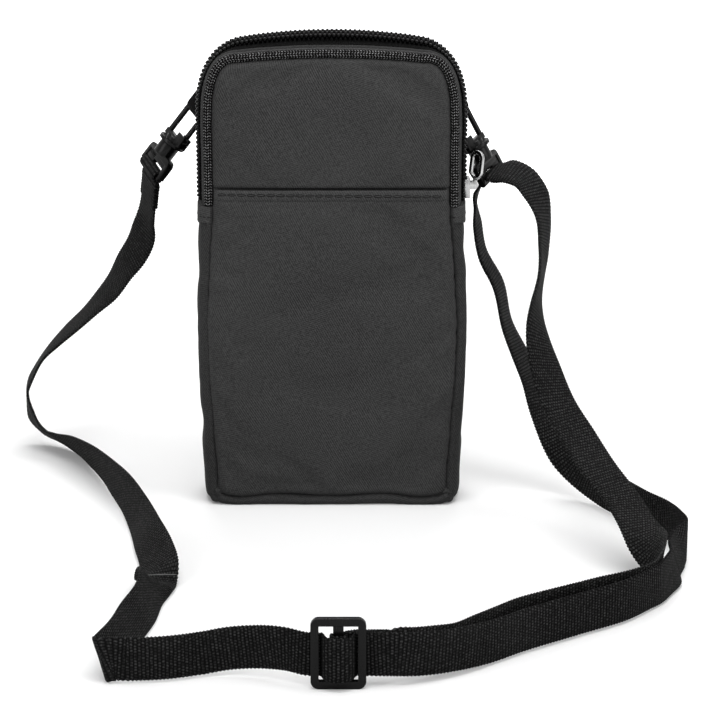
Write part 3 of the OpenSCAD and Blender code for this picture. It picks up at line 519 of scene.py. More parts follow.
def plain_finish(name, dark, pale, rough, scale=160.0, depth=0.00003, **plain):
    """Moulded or cast finish: faint mottling, fine scuffs and a slightly uneven gloss."""
    f = new_finish(name)
    mottle = f.cloud(scale, 4.0, 0.6)
    scuff = f.cloud(1500.0, stretch=(1.0, 1.0, 0.12))
    colour = f.blend(mottle * 0.7 + (scuff - 0.5) * 0.6, grey(dark), grey(pale))
    gloss = rough + (scuff - 0.5) * 0.22 + (mottle - 0.5) * 0.15
    return f.close(colour, gloss, mottle * 0.6 + scuff * 0.4, depth, 0.6, **plain)


def lining_finish():
    """Thin plain-woven lining."""
    f = new_finish("lining_cloth")
    u, v = f.weave_map()
    grid = u.wave(0.7) * v.wave(0.7)
    tone = f.cloud(40.0, 3.0)
    return f.close(f.blend(grid * 0.2 + tone, grey(0.03), grey(0.06)), 0.6, grid, 0.00008, 0.6,
                   Sheen_Weight=0.1, Specular_IOR_Level=0.3)


twill = cloth_finish("pouch_twill", 0.02, 0.058)
hem_cloth = cloth_finish("hem_twill", 0.024, 0.062)
gusset_cloth = cloth_finish("gusset_twill", 0.013, 0.044)
# The strip beside the zip is a much darker copy of the twill: painted shade of the recess between the binding
# and the teeth
strip_painted_shade_cloth = cloth_finish("gusset_strip_twill_painted_shade", 0.007, 0.018)
piping = cloth_finish("piping_cloth", 0.022, 0.055)
herringbone = herringbone_finish()
webbing = webbing_finish()
zip_tape = tape_finish()
coil_black = plain_finish("coil_nylon", 0.0005, 0.0012, 0.2, Specular_IOR_Level=0.05)
plastic = plain_finish("moulded_black", 0.0015, 0.004, 0.24, Specular_IOR_Level=0.14)
metal = plain_finish("slider_metal", 0.26, 0.62, 0.2, Metallic=1.0)
# Dark thread for the tab stitches; the same finish paints the shade in the seam grooves and under the hem
# stitches
dark_thread_and_groove_shade = plain_finish("stitch_thread_and_painted_groove_shade", 0.002, 0.008, 0.7, Specular_IOR_Level=0.15)
# Pale finish of the painted highlight along the strap's crease
crease_highlight_finish = plain_finish("crease_painted_highlight", 0.09, 0.25, 0.6, Specular_IOR_Level=0.3)
lining = lining_finish()


def turned(axis, degrees):
    return np.array(Matrix.Rotation(math.radians(degrees), 3, axis))


# Tilt and place of the left and the right hook, and the turn of their eyes
hooks = {-1: (52, (-66.5, 22, 145)), 1: (62, (60, 22, 143.2))}
eye_turn, eye_bar_x = -60, -13.5


def hook_frame(side):
    """The turn of an eye's own frame, mirrored at the right, and its place, as the part's source has them."""
    tilt, place = hooks[side]
    return np.diag([-side, 1, 1]) @ turned("Y", -tilt) @ turned("X", eye_turn), np.array(place)


def eye_rows(side, flat_points):
    """Rows of a ribbon round the bar of an eye, whose points lie in the frame's XY plane."""
    turn, flange = hook_frame(side)
    return [tuple(turn @ (x + eye_bar_x, y, 0) + flange) + tuple(turn[:, 2]) for x, y in flat_points]


def arc(radius, start, sweep, count):
    angles = np.radians(start + sweep * np.arange(count) / (count - 1))
    return [(radius * math.cos(a), radius * math.sin(a)) for a in angles]


# Webbing folded round the left eye's bar and sewn to itself
eye_bar_r, bar_gap, leg_angle, leg_apart = 1.3, 0.2, 180 - 34, 0.62
bar_r = eye_bar_r + bar_gap + strap_t / 2
leg = math.radians(leg_angle)
leg_dir, leg_side = np.array([math.cos(leg), math.sin(leg)]), np.array([-math.sin(leg), math.cos(leg)])
fold_line = [tuple(leg_dir * r + leg_side * leg_apart) for r in (15, 11, 7, 4)]
fold_line += arc(bar_r, leg_angle - 50, -260, 15)
fold_line += [tuple(leg_dir * r - leg_side * leg_apart) for r in (4, 7, 11, 15)]
sewn_left, _ = ribbon("webbing_sewn_left", eye_rows(-1, fold_line))
# Webbing turned round the right eye's bar
turn_right, _ = ribbon("webbing_turn_right", eye_rows(1, arc(bar_r, -31.5, 96.7, 11)), step=0.45)

# Weave of the strap through the adjuster, and the sewn end round its middle bar, seen from above
glide_x, glide_y, glide_w, glide_bar, glide_mid, glide_t = 3.7, -202, 19, 2.8, 3.6, 2.2
slot_edge = glide_w / 2 - glide_bar
layer_gap, mid_half_t = 0.3, 0.8
ring_x, ring_y = glide_mid / 2 + bar_gap + strap_t, mid_half_t + bar_gap + strap_t
weave_front, weave_back = -ring_y - layer_gap - strap_t / 2, glide_t / 2 + layer_gap + strap_t / 2
slot_mid = (slot_edge + ring_x) / 2
weave_half = [(ring_x * 1.05, weave_front), (slot_mid - 0.6, weave_front * 0.72),
              (slot_mid, (weave_front + weave_back) / 2), (slot_mid + 0.9, weave_back * 0.85),
              (slot_edge + glide_bar * 0.5, weave_back), (slot_edge + glide_bar, weave_back)]
strap_glide_z = 11.7
glide_rows = [(glide_x - x, glide_y + y, strap_glide_z, 0, 0, 1) for x, y in reversed(weave_half)]
glide_rows += [(glide_x + x, glide_y + y, strap_glide_z, 0, 0, 1) for x, y in weave_half]
tail_y = glide_y + weave_back + strap_t / 2 + layer_gap + strap_t
ring_mid_x, ring_mid_y = ring_x - strap_t / 2, ring_y - strap_t / 2
ring_round = [(ring_mid_x - 0.3, ring_mid_y + 0.1), (0, ring_mid_y - 0.1),
              (-ring_mid_x + 0.8, ring_mid_y - 0.1), (-ring_mid_x, 0), (-ring_mid_x + 0.8, -ring_mid_y),
              (0, -ring_mid_y), (ring_mid_x - 0.8, -ring_mid_y), (ring_mid_x + 0.1, 0)]
ring_line = [(21, tail_y - 0.6), (13, tail_y - 0.6), (10, tail_y - 0.7)]
ring_line += [(glide_x + x, glide_y + y) for x, y in ring_round]
end_rows = [(x, y, strap_glide_z, 0, 0, 1) for x, y in ring_line]

# The strap comes first: a long run from the left eye through the adjuster to the right eye, and the run back
left_end, right_end = (-76.2, 25.1, 123.9, -4, 9, 3), (64.5, 23, 131.4, 4, 9, 2)
back_end = (66.2, 21.6, 133.4, 4, 9, 2)
long_rows = [left_end] + route_left + glide_rows + route_right + [right_end]
back_rows = [back_end] + route_sewn + route_slack[1:] + end_rows
left_cut, right_cut = (-44, -193, 9), (46, -191, 10)
middle = (glide_x, glide_y + weave_front, strap_glide_z)
slack_cut, sewn_cut = (44, -185, 9), (21, tail_y - 0.6, strap_glide_z)
strap_left, path_left = ribbon("webbing_long_left", long_rows, last=left_cut)
weave_left, _ = ribbon("webbing_weave_left", long_rows, first=left_cut, last=middle)
weave_right, _ = ribbon("webbing_weave_right", long_rows, first=middle, last=right_cut)
strap_right, path_right = ribbon("webbing_long_right", long_rows, first=right_cut)
strap_back, path_back = ribbon("webbing_sewn_run", back_rows, last=slack_cut)
strap_spare, _ = ribbon("webbing_slack", back_rows, first=slack_cut, last=sewn_cut)
sewn_end, _ = ribbon("webbing_sewn_end", back_rows, first=sewn_cut)
tail_line = [(21, tail_y + 0.6), (13, tail_y + 0.6), (10, tail_y + 0.5), (7.5, tail_y - 0.3),
             (5.5, glide_y + ring_y + 0.5)]
tail_rows = [(x, y, strap_glide_z, 0, 0, 1) for x, y in tail_line]
sewn_tail, _ = ribbon("webbing_sewn_tail", tail_rows, step=0.5)

bodies_of = {n: b for b, members in frame["record"]["behaviour"]["bodies"].items() for n in members}


def dress(ob, material, slot, *nodes, body=None, second=None):
    """Gives a piece its material and hides the CAD nodes that it stands for. It rides on its body; with a
    second body, named with two places, its place is only baked into its mesh and it does not bend. The slot
    is not used."""
    paint(ob, material)
    if nodes or second:
        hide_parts(*nodes)
    if second:
        moving, *places = second
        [tuple(c * MM for c in place) for place in places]
        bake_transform(ob)
    else:
        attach(ob, body or bodies_of[nodes[0]])
    return ob


for ob, node in ((strap_left, "strap_long_left"), (strap_right, "strap_long_right"),
                 (strap_back, "strap_sewn_run"), (sewn_left, "strap_end_left"),
                 (turn_right, "strap_turn_right"), (sewn_end, "strap_sewn_end")):
    dress(ob, webbing, "webbing", node)
dress(sewn_tail, webbing, "webbing", body="adjuster")
# The weave and the slack between the long runs and the adjuster: their places are only baked into their
# meshes
blend_out, blend_z = 11, 11
for ob, place_from, place_to, nodes in (
        (weave_left, left_cut, (glide_x - blend_out, glide_y, blend_z), ("strap_weave",)),
        (weave_right, right_cut, (glide_x + blend_out, glide_y, blend_z), ()),
        (strap_spare, slack_cut, sewn_cut, ("strap_slack",))):
    dress(ob, webbing, "webbing", *nodes, second=("adjuster", place_from, place_to))


# Pouch panels. A panel's grid fills the outline's inset between two heights.
def both_sides(half):
    """A line across the pouch from its right half, the middle first, or from one point at the right."""
    return np.concatenate([(half * [-1, 1])[::-1], half])


def panel_edges(inset, low, high, count_across, count_up, at_y):
    """The bottom, top, left and right edges of a panel. A height of None is the outline's own end there."""
    diagonal = math.sqrt(0.5)
    inner = (outline - outline_n * (inset + drape(outline, outline_n, at_y))[:, None])[:top_index + 1]
    n = outline_n[:top_index + 1]
    first = (int(np.argmin(np.abs(n[:top_index // 3, 0] - diagonal))) if low is None
             else int(np.argmax((inner[:, 1] >= low) & (inner[:, 0] > half_w * 0.5))))
    past = n[:, 1] > diagonal if high is None else inner[:, 1] > high
    last = next(i for i in range(first + 5, top_index) if past[i])
    side = inner[first:last + 1].copy()
    bottom, top = inner[:first + 1], inner[last:][::-1]
    if low is not None:
        side[0] = (np.interp(low, *inner[first - 1:first + 1].T[::-1]), low)
        bottom = side[:1]
    if high is not None:
        side[-1] = (np.interp(high, *inner[last - 1:last + 1].T[::-1]), high)
        top = side[-1:]
    bottom, top = even(both_sides(bottom), count_across), even(both_sides(top), count_across)
    side = even(side, count_up)
    return bottom, top, side * [-1, 1], side


def panel_grid(inset, low, high, across, up, at_y=front_y):
    """Places (x, z) over a panel, and how far each is from the panel's sewn edges."""
    bottom, top, left, right = panel_edges(inset, low, high, across, up, at_y)
    u, v = np.linspace(0, 1, across)[None, :, None], np.linspace(0, 1, up)[:, None, None]
    grid = ((1 - v) * bottom[None] + v * top[None] + (1 - u) * left[:, None] + u * right[:, None]
            - (1 - u) * (1 - v) * bottom[0] - u * (1 - v) * bottom[-1]
            - (1 - u) * v * top[0] - u * v * top[-1])
    edges = [left, right] + ([bottom] if low is None else []) + ([top] if high is None else [])
    edge = np.concatenate([even(e, 240) for e in edges])
    flat = grid.reshape(-1, 2)
    d = np.array([np.sqrt(((edge - p) ** 2).sum(axis=1).min()) for p in flat]).reshape(grid.shape[:2])
    return grid, d


def pillow(grid, d, face_y, out, roll, crown=1.3, wrinkle=0.3, seed=0.0):
    """The panel's outer surface: rolled in at its seams, crowned over its foam, with faint waves."""
    edge_w, soft = 3.0, 9.0
    edge = np.clip(d / edge_w, 0, 1)
    height = roll * np.sqrt(1 - (1 - edge) ** 2) + crown * (1 - np.exp(-d / soft))
    surface = np.zeros(grid.shape[:2] + (3,))
    for i in range(grid.shape[0]):
        for j in range(grid.shape[1]):
            x, z = grid[i, j]
            wave = ripple(x, 0, z, 30, seed) + math.exp(-d[i, j] / 7) * 1.6 * ripple(x, 0, z, 9, seed + 3)
            wave *= wrinkle * min(1, d[i, j] / 2)
            surface[i, j] = (x, face_y + out * (height[i, j] + wave), z)
    return surface


def finished(ob, *look):
    """Cloth that crosses the fold of the mouth: its place is only baked into its mesh, and it does not swing
    with the flap.
    """
    foot_z, arch_z = fold_z - 6, fold_z + 22
    return dress(ob, *look, second=("mouth_flap", (0, front_y, foot_z), (0, front_y, arch_z)))


def settle(face, d, outward, frames=14, slack=0.012, push=1.5, cap=1.1):
    """Lets a panel's cloth settle: its edges are held, padding pushes it out, and it has cloth to spare."""
    hold_within, ease = 1.6, 3
    n, m = face.shape[:2]
    at = lambda i, j: i * m + j
    quads = [(at(i, j), at(i + 1, j), at(i + 1, j + 1), at(i, j + 1))
             for i in range(n - 1) for j in range(m - 1)]
    if outward < 0:
        quads = [q[::-1] for q in quads]
    ob = mesh_piece("cloth_settling", face.reshape(-1, 3), quads, outward=False)
    held = ob.vertex_groups.new(name="held")
    near = d.reshape(-1)
    held.add([k for k in range(len(near)) if near[k] < hold_within], 1.0, "ADD")
    mod = ob.modifiers.new("Cloth", "CLOTH")
    cloth = mod.settings
    cloth.quality, cloth.mass = 6, 0.15
    cloth.tension_stiffness = cloth.compression_stiffness = 18
    cloth.shear_stiffness, cloth.bending_stiffness = 6, 0.25
    cloth.vertex_group_mass, cloth.shrink_min = "held", -slack
    cloth.use_pressure, cloth.uniform_pressure_force = True, push
    cloth.effector_weights.gravity = 0
    mod.collision_settings.use_collision = False
    mod.point_cache.frame_start, mod.point_cache.frame_end = 1, frames
    for frame_number in range(1, frames + 1):
        scene.frame_set(frame_number)
    settled = ob.evaluated_get(bpy.context.evaluated_depsgraph_get()).to_mesh()
    moved = np.array([v.co[:] for v in settled.vertices]) / MM - face.reshape(-1, 3)
    scene.frame_set(1)
    bpy.data.objects.remove(ob)
    far = np.linalg.norm(moved, axis=1)
    moved *= (np.tanh(far / cap) * cap / np.maximum(far, 1e-6))[:, None]
    moved *= np.clip((near - 0.5) / ease, 0, 1)[:, None]
    return face + moved.reshape(face.shape)


def lining_face(low, high, up, at_y, seed):
    """The inner surface of a panel's lining."""
    inward, depth, margin = 1 if at_y < 0 else -1, 4.2, 2.4
    grid, d = panel_grid(seam_inset + margin, low, high, 29, up, at_y)
    return pillow(grid, d, at_y + depth * inward, inward, roll=0.4, crown=0.3, seed=seed)


pocket_top, lower_top = pocket_h - hem_h, fold_z - 0.3
flap_grid, flap_d = panel_grid(seam_inset - 0.3, fold_z, None, 57, 44)
flap_face = pillow(flap_grid, flap_d, front_y + 1.7, -1, roll=2.6, seed=1.0)
flap_face = settle(flap_face, np.minimum(flap_d, flap_grid[:, :, 1] - fold_z), -1)
flap_panel = shell("flap_panel_cloth", flap_face, 2.2, flip=True)
finished(flap_panel, twill, "grey_cloth", "front_panel_upper", "flap_foam")
flap_in = shell("flap_lining_cloth", lining_face(fold_z, None, 24, front_y, 2.0), 0.8)
finished(flap_in, lining, "lining", "flap_lining")

pocket_grid, pocket_d = panel_grid(seam_inset + 0.2, None, pocket_top, 61, 76)
pocket_face = pillow(pocket_grid, pocket_d, front_y + 1.8, -1, roll=3.3, crown=1.1, seed=5.0)
pocket_face = settle(pocket_face, np.minimum(pocket_d, pocket_top - pocket_grid[:, :, 1]), -1)
pocket_panel = shell("pocket_cloth", pocket_face, 1.3, flip=True)
dress(pocket_panel, twill, "grey_cloth", "front_pocket")
hem_grid, hem_d = panel_grid(seam_inset + 0.2, pocket_top - 0.4, pocket_h, 61, 8)
hem_face = pillow(hem_grid, hem_d, front_y + 1.4, -1, roll=3.3, crown=1.1, seed=5.0)
hem_face[:, :, 1] += (0.5 * np.abs(2 * np.linspace(0, 1, 8) - 1) ** 4)[:, None]
dress(shell("pocket_hem_cloth", hem_face, 1.3, flip=True), hem_cloth, "grey_cloth", "pocket_hem")

lower_grid, lower_d = panel_grid(seam_inset + 0.6, None, lower_top, 41, 60)
lower_face = pillow(lower_grid, lower_d, front_y + 0.3, -1, roll=0.2, crown=0.0, wrinkle=0.0)
lower = shell("front_panel_cloth", lower_face, 3.2, flip=True)
dress(lower, twill, "grey_cloth", "front_panel_lower", "front_foam")
lower_in = shell("front_lining_cloth", lining_face(None, lower_top, 40, front_y, 8.0), 0.8)
dress(lower_in, lining, "lining", "front_lining")

back_grid, back_d = panel_grid(seam_inset + 0.4, None, None, 57, 96, back_y)
back_face = settle(pillow(back_grid, back_d, back_y - 2.2, 1, roll=1.8, crown=0.5, seed=11.0), back_d, 1)
back_panel = shell("back_panel_cloth", back_face, 2.4)
dress(back_panel, twill, "grey_cloth", "back_panel", "back_foam")
back_in = shell("back_lining_cloth", lining_face(None, None, 48, back_y, 13.0), 0.8, flip=True)
dress(back_in, lining, "lining", "back_lining")


# Gussets, binding, zip tapes: profiles of (depth, inset) carried round the outline
def profile_of(points, step):
    return smooth_line(points, step, key=2)


# Dents of the gusset's sides: side, height, width, depth. Tucks at its base corners: place, width, depth.
dents = ((-1, 98, 5, 1.0), (-1, 35, 6, 1.1), (1, 107, 5, 0.8), (1, 30, 7, 0.5))
tucks = ((bottom_half - 1.2, 0.7, 1.3), (bottom_half - 5.5, 1.0, 0.7))


def gusset_wobble(pts, y, share):
    """How far the gusset's cloth sinks in, at a share of the way from its front seam to its back seam."""
    middle = math.sin(math.pi * share)
    out = np.zeros(len(pts))
    for k, (x, z) in enumerate(pts):
        out[k] = 0.35 * middle * ripple(x, y, z, 16, 21.0) + 0.25 * middle * ripple(x, y * 0.4, z, 6, 23.0)
        for side, height, width, depth in dents:
            if x * side > 0:
                out[k] += middle * depth * math.exp(-((z - height) / width) ** 2)
        low_front = max(0.0, 1 - z / 9) * max(0.0, 1 - share * 2.2)
        for at, width, depth in tucks:
            out[k] += depth * math.exp(-((abs(x) - at) / width) ** 2) * low_front
    return out


seam_depth = 6.3
lower_profile = profile_of([
    (-13.0, seam_depth), (-14.7, 5.7), (-15.3, 4.5), (-14.5, 2.9), (-13.05, 1.4), (-10.5, 0.4), (-7, 0),
    (0, -0.2), (7, 0), (10.5, 0.4), (13.05, 1.5), (14.5, 3.1), (15.1, 4.9), (13.6, seam_depth)], 0.9)
gusset_run = run_from(zip_end_z, False, 1.0)
gusset_face = swept(gusset_run, lower_profile, gusset_wobble)
base_bulge, bulge_from, lowest = 1.7, -9, 0.05
down = np.maximum(0, -gusset_run[1][:, 1]) ** 2
ahead = np.clip((bulge_from - lower_profile[:, 0]) / 4, 0, 1)
ahead *= np.clip(seam_depth - lower_profile[:, 1], 0, 1)
gusset_face[:, :, 1] -= base_bulge * down[:, None] * ahead[None]
gusset_face[:, :, 2] = np.maximum(gusset_face[:, :, 2], lowest)
gusset = shell("gusset_cloth", gusset_face, 1.5, flip=True)
dress(gusset, gusset_cloth, "grey_cloth", "lower_gusset")
# Thin dark strips set in the lower and upper seam grooves are painted shade of the grooves
seam_shade_profile = profile_of([(-14.2, 5.3), (-14.2, 6.6)], 0.6)
seam = shell("seam_groove_painted_shade_lower", swept(gusset_run, seam_shade_profile), 0.4)
dress(seam, dark_thread_and_groove_shade, "black_trim", body="pouch")
rear_profile = profile_of([
    (9.0, 0.7), (10.5, 0.85), (13.05, 1.9), (14.55, 3.7), (14.8, 5.2), (13.6, seam_depth)], 0.8)
rear = shell("rear_gusset_cloth", swept(run_from(zip_end_z, True, 1.6), rear_profile), 1.5, flip=True)
dress(rear, gusset_cloth, "grey_cloth", "rear_gusset")
strip_profile = profile_of([(-13.6, 2.2), (-12, 1.43), (-10.4, 1.1)], 0.5)
band_profile = profile_of([(-13.8, 5.75), (-15.0, 5.4), (-15.7, 4.3), (-15.4, 3.1), (-14.2, 2.2)], 0.5)
piping_profile = profile_of([(-14.5, 2.5), (-14.35, 2.0), (-13.7, 1.75), (-13.2, 2.0)], 0.3)
tape_inset = 0.68
front_tape_profile = profile_of([
    (-10.6, 1.05), (-9, 0.91), (-5.55, tape_inset), (-3.2, tape_inset), (2.5, tape_inset)], 0.9)
rear_tape_profile = profile_of([(3.5, tape_inset), (9.0, tape_inset)], 0.9)
upper_seam_shade_profile = profile_of([(-14.5, 5.3), (-14.5, 6.2)], 0.5)
whole_arch = run_from(zip_end_z, True, 1.2)
fine_arch = run_from(zip_end_z, True, 0.6)
for name, run, profile, thick, material, slot, *nodes in (
        # The strip's darker twill is painted shade of its recess
        ("front_strip_cloth", whole_arch, strip_profile, 1.4, strip_painted_shade_cloth, "grey_cloth", "top_gusset"),
        ("herringbone_binding", fine_arch, band_profile, 1.0, herringbone, "black_trim",
         "front_binding", "zip_foot_left", "zip_foot_right"),
        ("binding_piping", whole_arch, piping_profile, 0.5, piping, "grey_cloth"),
        # A dark strip along the upper seam: painted shade of its groove
        ("seam_thread_upper", whole_arch, upper_seam_shade_profile, 0.4, dark_thread_and_groove_shade, "black_trim"),
        ("zip_tape_front_cloth", whole_arch, front_tape_profile, 0.6, zip_tape, "black_trim",
         "zip_tape_front")):
    edging = shell(name, swept(run, profile), thick, flip=name != "seam_thread_upper")
    finished(edging, material, slot, *nodes)
rear_tape = shell("zip_tape_rear_cloth", swept(whole_arch, rear_tape_profile), 0.6, flip=True)
dress(rear_tape, zip_tape, "black_trim", "zip_tape_rear")

# Zip teeth: one tooth is modelled and copied along the outline, above a cord that the coil is sewn round
bpy.ops.mesh.primitive_uv_sphere_add(segments=8, ring_count=6, radius=0.5)
tooth = bpy.context.object
tooth_pts = np.array([v.co[:] for v in tooth.data.vertices])
tooth_faces = [tuple(p.vertices) for p in tooth.data.polygons]
bpy.data.objects.remove(tooth)


def copies(name, places):
    """Copies of the rounded tooth, each at a place, along three directions with their lengths."""
    verts, faces = [], []
    for centre, a, b, c in places:
        base = len(verts)
        turn = np.array([a, b, c], float)
        verts += (np.array(centre) + tooth_pts @ turn).tolist()
        faces += [tuple(base + k for k in f) for f in tooth_faces]
    return mesh_piece(name, verts, faces)


def teeth(name, run, side, y_stitch, shift):
    """A row of teeth at one side of the zip's middle, and the row of stitches that holds it."""
    pts, normals = run
    y_mid, tooth_w = zip_y + side * coil_half, 1.5
    s = lengths(pts)
    lift = drape(pts, normals, y_mid)
    places = []
    for at in np.arange(0.9 + shift, s[-1] - 0.6, tooth_pitch):
        p, n = at_length(s, pts, at), unit(at_length(s, normals, at))
        t = np.array([-n[1], n[0]])
        up = -np.interp(at, s, lift)
        for y, out, reach, tall in ((y_mid, 0.55, 2.9, 2.5), (y_stitch, -0.2, 3.0, 2.3)):
            x, z = p + n * (out + up)
            places.append(((x, y, z), (t[0] * tooth_w, 0, t[1] * tooth_w), (0, reach, 0),
                           (n[0] * tall, 0, n[1] * tall)))
    return copies(name, places)


front_cord = profile_of([(0.2, 0.75), (0.35, -0.3), (1.0, -0.95), (2.2, -1.0), (2.9, -0.7)], 0.5)
rear_cord = [(2 * zip_y - y, inset) for y, inset in front_cord][::-1]
front_core = shell("zip_core_front", swept(whole_arch, front_cord), 0.6, flip=True)
finished(front_core, coil_black, "black_trim")
front_teeth = teeth("zip_teeth_front", fine_arch, -1, zip_y - 6.6, 0.0)
finished(front_teeth, coil_black, "black_trim", "zip_coil_front")
rear_core = shell("zip_core_rear", swept(whole_arch, rear_cord), 0.6, flip=True)
dress(rear_core, coil_black, "black_trim", body="pouch")
rear_teeth = teeth("zip_teeth_rear", fine_arch, 1, zip_y + 3.6, 0.9)
dress(rear_teeth, coil_black, "black_trim", "zip_coil_rear")

# Cloth tabs that close the ends of the zip
tab_h = 7
tab_profile = profile_of([
    (-14.6, 5.6), (-15.5, 4.2), (-14.9, 2.4), (-13.6, 0.3), (-10, -0.7), (-6, -1.0), (0, -1.05), (6, -1.0),
    (9, -0.9)], 0.7)
sides = ((-1, "left"), (1, "right"))
for side, word in sides:
    tab_edge = even([(upper_half * 1.003, zip_end_z - tab_h), (upper_half, zip_end_z - 0.1)], 12) * [side, 1]
    if side < 0:
        tab_edge = tab_edge[::-1]
    tab_run = (tab_edge, np.array([[side, 0.0]] * len(tab_edge)))
    tab = shell("end_tab_cloth_" + word, swept(tab_run, tab_profile), 0.9, flip=True)
    dress(tab, hem_cloth, "grey_cloth", "zip_end_tab_" + word)

# A pale strip across the crease of the left strand: a painted highlight of the crease
crease_at, highlight_w, highlight_l, highlight_t = [-65.5, -104, 3], 0.45, 17.2, 1.75
crease = int(np.linalg.norm(path_left / MM - crease_at, axis=1).argmin())
crease_spot, crease_along = path_left[crease] / MM, unit(path_left[crease + 1] - path_left[crease - 1])
crease_across = np.array([-9.2, 0.3, -2])
crease_across = unit(crease_across - crease_along * crease_across.dot(crease_along))
crease_up = np.cross(crease_along, crease_across)
crease_painted_highlight = (crease_spot + crease_across * 0.3, crease_along * highlight_w, crease_across * highlight_l,
                crease_up * highlight_t)
dress(copies("crease_painted_highlight_strip", [crease_painted_highlight]), crease_highlight_finish, "webbing", body="pouch")


# Stitches: short raised threads along a line on the cloth, each sunk at both ends
def stitches(name, points, outward, pitch, length, wide, tall):
    line = even(points, 400)
    s = lengths(line)
    places = []
    for at in np.arange(pitch * 0.6, s[-1] - pitch * 0.4, pitch):
        p, q = at_length(s, line, np.array([at, at + 0.3]))
        t = unit(q - p)
        n = unit(np.array(outward, float) - t * np.dot(outward, t))
        places.append((p, t * length, np.cross(n, t) * wide, n * tall))
    return copies(name, places)


def hem_line(z_left, z_right):
    """A line on the hem's outer side that slants a little from one side to the other."""
    line, half = [], 50
    for j in range(1, hem_face.shape[1] - 1):
        x = hem_face[4, j, 0]
        z = z_left + (z_right - z_left) * (x + half) / (2 * half)
        line.append((x, np.interp(z, hem_face[:, j, 2], hem_face[:, j, 1]), z))
    return np.array(line)


stitch_pitch, forward = 3.9, (0, -1, 0)
thread_line = hem_line(pocket_h - 1.7, pocket_h - 2.6)
# A wider, flat dark row under the hem's stitches is painted shade of their groove
stitch_groove_shade = stitches("hem_stitch_groove_painted_shade", thread_line, forward, stitch_pitch, 3.8, 1.25, 0.3)
dress(stitch_groove_shade, dark_thread_and_groove_shade, "black_trim", body="pouch")
threads = stitches("hem_stitches", thread_line - [0, 0.12, 0], forward, stitch_pitch, 3.1, 0.42, 0.5)
dress(threads, hem_cloth, "grey_cloth", body="pouch")
for side, word in sides:
    seam_line = [(side * (upper_half - inset), y, zip_end_z - 4.4) for y, inset in tab_profile[1:-1]]
    seam = stitches("tab_stitches_" + word, seam_line, (side * 0.8, -0.6, 0), 1.9, 1.5, 0.4, 0.5)
    dress(seam, dark_thread_and_groove_shade, "black_trim", body="pouch")


# Moulded and cast pieces: a merged copy of the CAD solid, its edges rounded. The pull is twisted at its pin.
pull_pin, pull_twist, edge_angle = Vector((58.2, 3, 131.6)) * MM, 34, 32


def rounded_copy(node, name, width):
    me = frame["nodes"][node].data.copy()
    ob = bpy.data.objects.new(name, me)
    scene.collection.objects.link(ob)
    pick(ob)
    bpy.ops.object.mode_set(mode="EDIT")
    bpy.ops.mesh.select_all(action="SELECT")
    bpy.ops.mesh.remove_doubles(threshold=0.00002)
    bpy.ops.mesh.dissolve_limited(angle_limit=math.radians(1.0))
    bpy.ops.object.mode_set(mode="OBJECT")
    ob.select_set(False)
    if node == "zip_pull":
        ob.data.transform(Matrix.Translation(-pull_pin))
        apply_modifier(ob, "SIMPLE_DEFORM", deform_method="TWIST", deform_axis="Z",
                       angle=math.radians(pull_twist), limits=(0.2, 0.42))
        ob.data.transform(Matrix.Translation(pull_pin))
    apply_modifier(ob, "BEVEL", width=width * MM, segments=2, limit_method="ANGLE",
                   angle_limit=math.radians(edge_angle), use_clamp_overlap=True)
    sharp_by_angle(ob, edge_angle + 2)
    return ob


for node, width in (("hook_left", 0.3), ("hook_right", 0.3), ("gate_left", 0.2), ("gate_right", 0.2),
                    ("swivel_eye_left", 0.45), ("swivel_eye_right", 0.45), ("tri_glide", 0.5),
                    ("zip_slider", 0.25), ("zip_pull", 0.3)):
    cast = node.startswith("zip_")
    dress(rounded_copy(node, node + "_finished", width), metal if cast else plastic,
          "silver_metal" if cast else "black_plastic", node)
loop_thinner = 0.15
for side, word in sides:
    loop = rounded_copy("strap_loop_" + word, "strap_loop_cloth_" + word, 0.2)
    apply_modifier(loop, "DISPLACE", strength=-loop_thinner * MM, mid_level=0.0)
    dress(loop, webbing, "webbing", "strap_loop_" + word)


def eye_web(name, side, x_low, x_high, z_low, z_high):
    """A moulded web that closes part of an eye's window, in the eye's own frame."""
    thick = 2.4
    turn, flange = hook_frame(side)
    centre = turn @ ((x_low + x_high) / 2, 0, (z_low + z_high) / 2) + flange
    turn = Matrix((turn @ np.diag([-side, 1, 1])).tolist()).to_4x4()
    bpy.ops.mesh.primitive_cube_add(size=1)
    ob = bpy.context.object
    ob.name = name
    size = ((x_high - x_low) * MM, thick * MM, (z_high - z_low) * MM)
    ob.data.transform(Matrix.Translation(Vector(centre) * MM) @ turn @ Matrix.Diagonal(size + (1,)))
    apply_modifier(ob, "BEVEL", width=0.4 * MM, segments=3)
    sharp_by_angle(ob, edge_angle + 2)
    return dress(ob, plastic, "black_plastic", body="pouch")


web_end, web_half = -7.2, 8.6
eye_web("eye_web_left", -1, -9.7, web_end, -web_half, web_half)
eye_web("eye_web_left_shoulder", -1, -11.2, web_end, 1.5, web_half)
eye_web("eye_web_right", 1, -10.2, web_end, -web_half, web_half)
eye_web("eye_web_right_upper", 1, -11.6, -9.2, 2.6, web_half)
eye_web("eye_web_right_lower", 1, -11.6, -9.2, -web_half, -3.4)

# Each run of webbing's path is cut into 90 even points, which are not used
for ob, path, others in ((strap_left, path_left, (sewn_left, weave_left)),
                         (strap_right, path_right, (weave_right, turn_right)),
                         (strap_back, path_back, (strap_spare, sewn_end, sewn_tail))):
    even(path, 90).tolist()

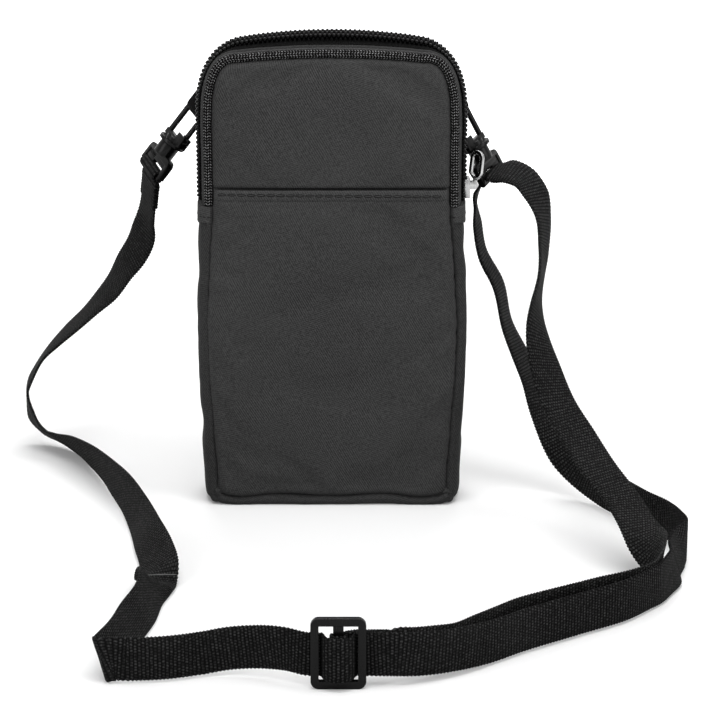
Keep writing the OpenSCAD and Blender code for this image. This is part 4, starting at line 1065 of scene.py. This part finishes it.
# Floor: white where it is seen, with the shadows of the part on its middle, and a pale grey to other rays
room_white, seen_grey, lit_grey, glow = (1, 1, 1, 1), grey(0.86), grey(0.6), 0.07
floor_finish = new_finish("studio_floor")
out_x = floor_finish.node("SeparateXYZ", {0: floor_finish.place()})
out_y = floor_finish.other(out_x, 1) + 0.05
far = (out_x * out_x + out_y * out_y).span(0.1, 0.9)
white = floor_finish.node("Emission", {"Color": room_white, "Strength": far * (1 - glow) + glow})
half_lit = floor_finish.node("BsdfDiffuse", {"Color": seen_grey})
seen = floor_finish.node("AddShader", {0: half_lit, 1: white})
lit = floor_finish.node("BsdfDiffuse", {"Color": lit_grey})
mix = floor_finish.node("MixShader", {0: floor_finish.seen_rays(), 1: lit, 2: seen})
floor_finish.node("OutputMaterial", {"Surface": mix})
bpy.ops.mesh.primitive_plane_add(size=8)
floor = bpy.context.object
floor.name = "studio_floor"
paint(floor, floor_finish.owner)

# Backdrop: white where it is seen, and a soft light all round to other rays
scene.world = bpy.data.worlds.new("studio")
studio = Finish(scene.world)
soft = studio.node("Background", {"Color": room_white, "Strength": 0.4})
backdrop = studio.node("Background", {"Color": room_white, "Strength": 1.0})
sky = studio.node("MixShader", {0: studio.seen_rays(), 1: soft, 2: backdrop})
studio.node("OutputWorld", {"Surface": sky})

# Softboxes: name, place, height that they aim at, size and power
for name, place, aim_z, size, power in (
        ("softbox_top", (0.15, -0.35, 1.1), 0.08, (1.0, 0.8), 9),
        ("softbox_left", (-1.0, -0.8, 0.6), 0.1, (0.6, 0.9), 5),
        ("softbox_right", (1.0, -0.6, 0.6), 0.1, (0.6, 0.9), 5),
        ("softbox_back", (0.0, 0.8, 1.1), 0.1, (0.8, 0.5), 8)):
    lamp = bpy.data.lights.new(name, "AREA")
    lamp.shape, lamp.size, lamp.size_y, lamp.energy = "RECTANGLE", size[0], size[1], power
    ob = bpy.data.objects.new(name, lamp)
    scene.collection.objects.link(ob)
    ob.location = place
    ob.rotation_euler = (Vector((0, 0, aim_z)) - Vector(place)).to_track_quat("-Z", "Y").to_euler()
scene.view_settings.view_transform = "Standard"
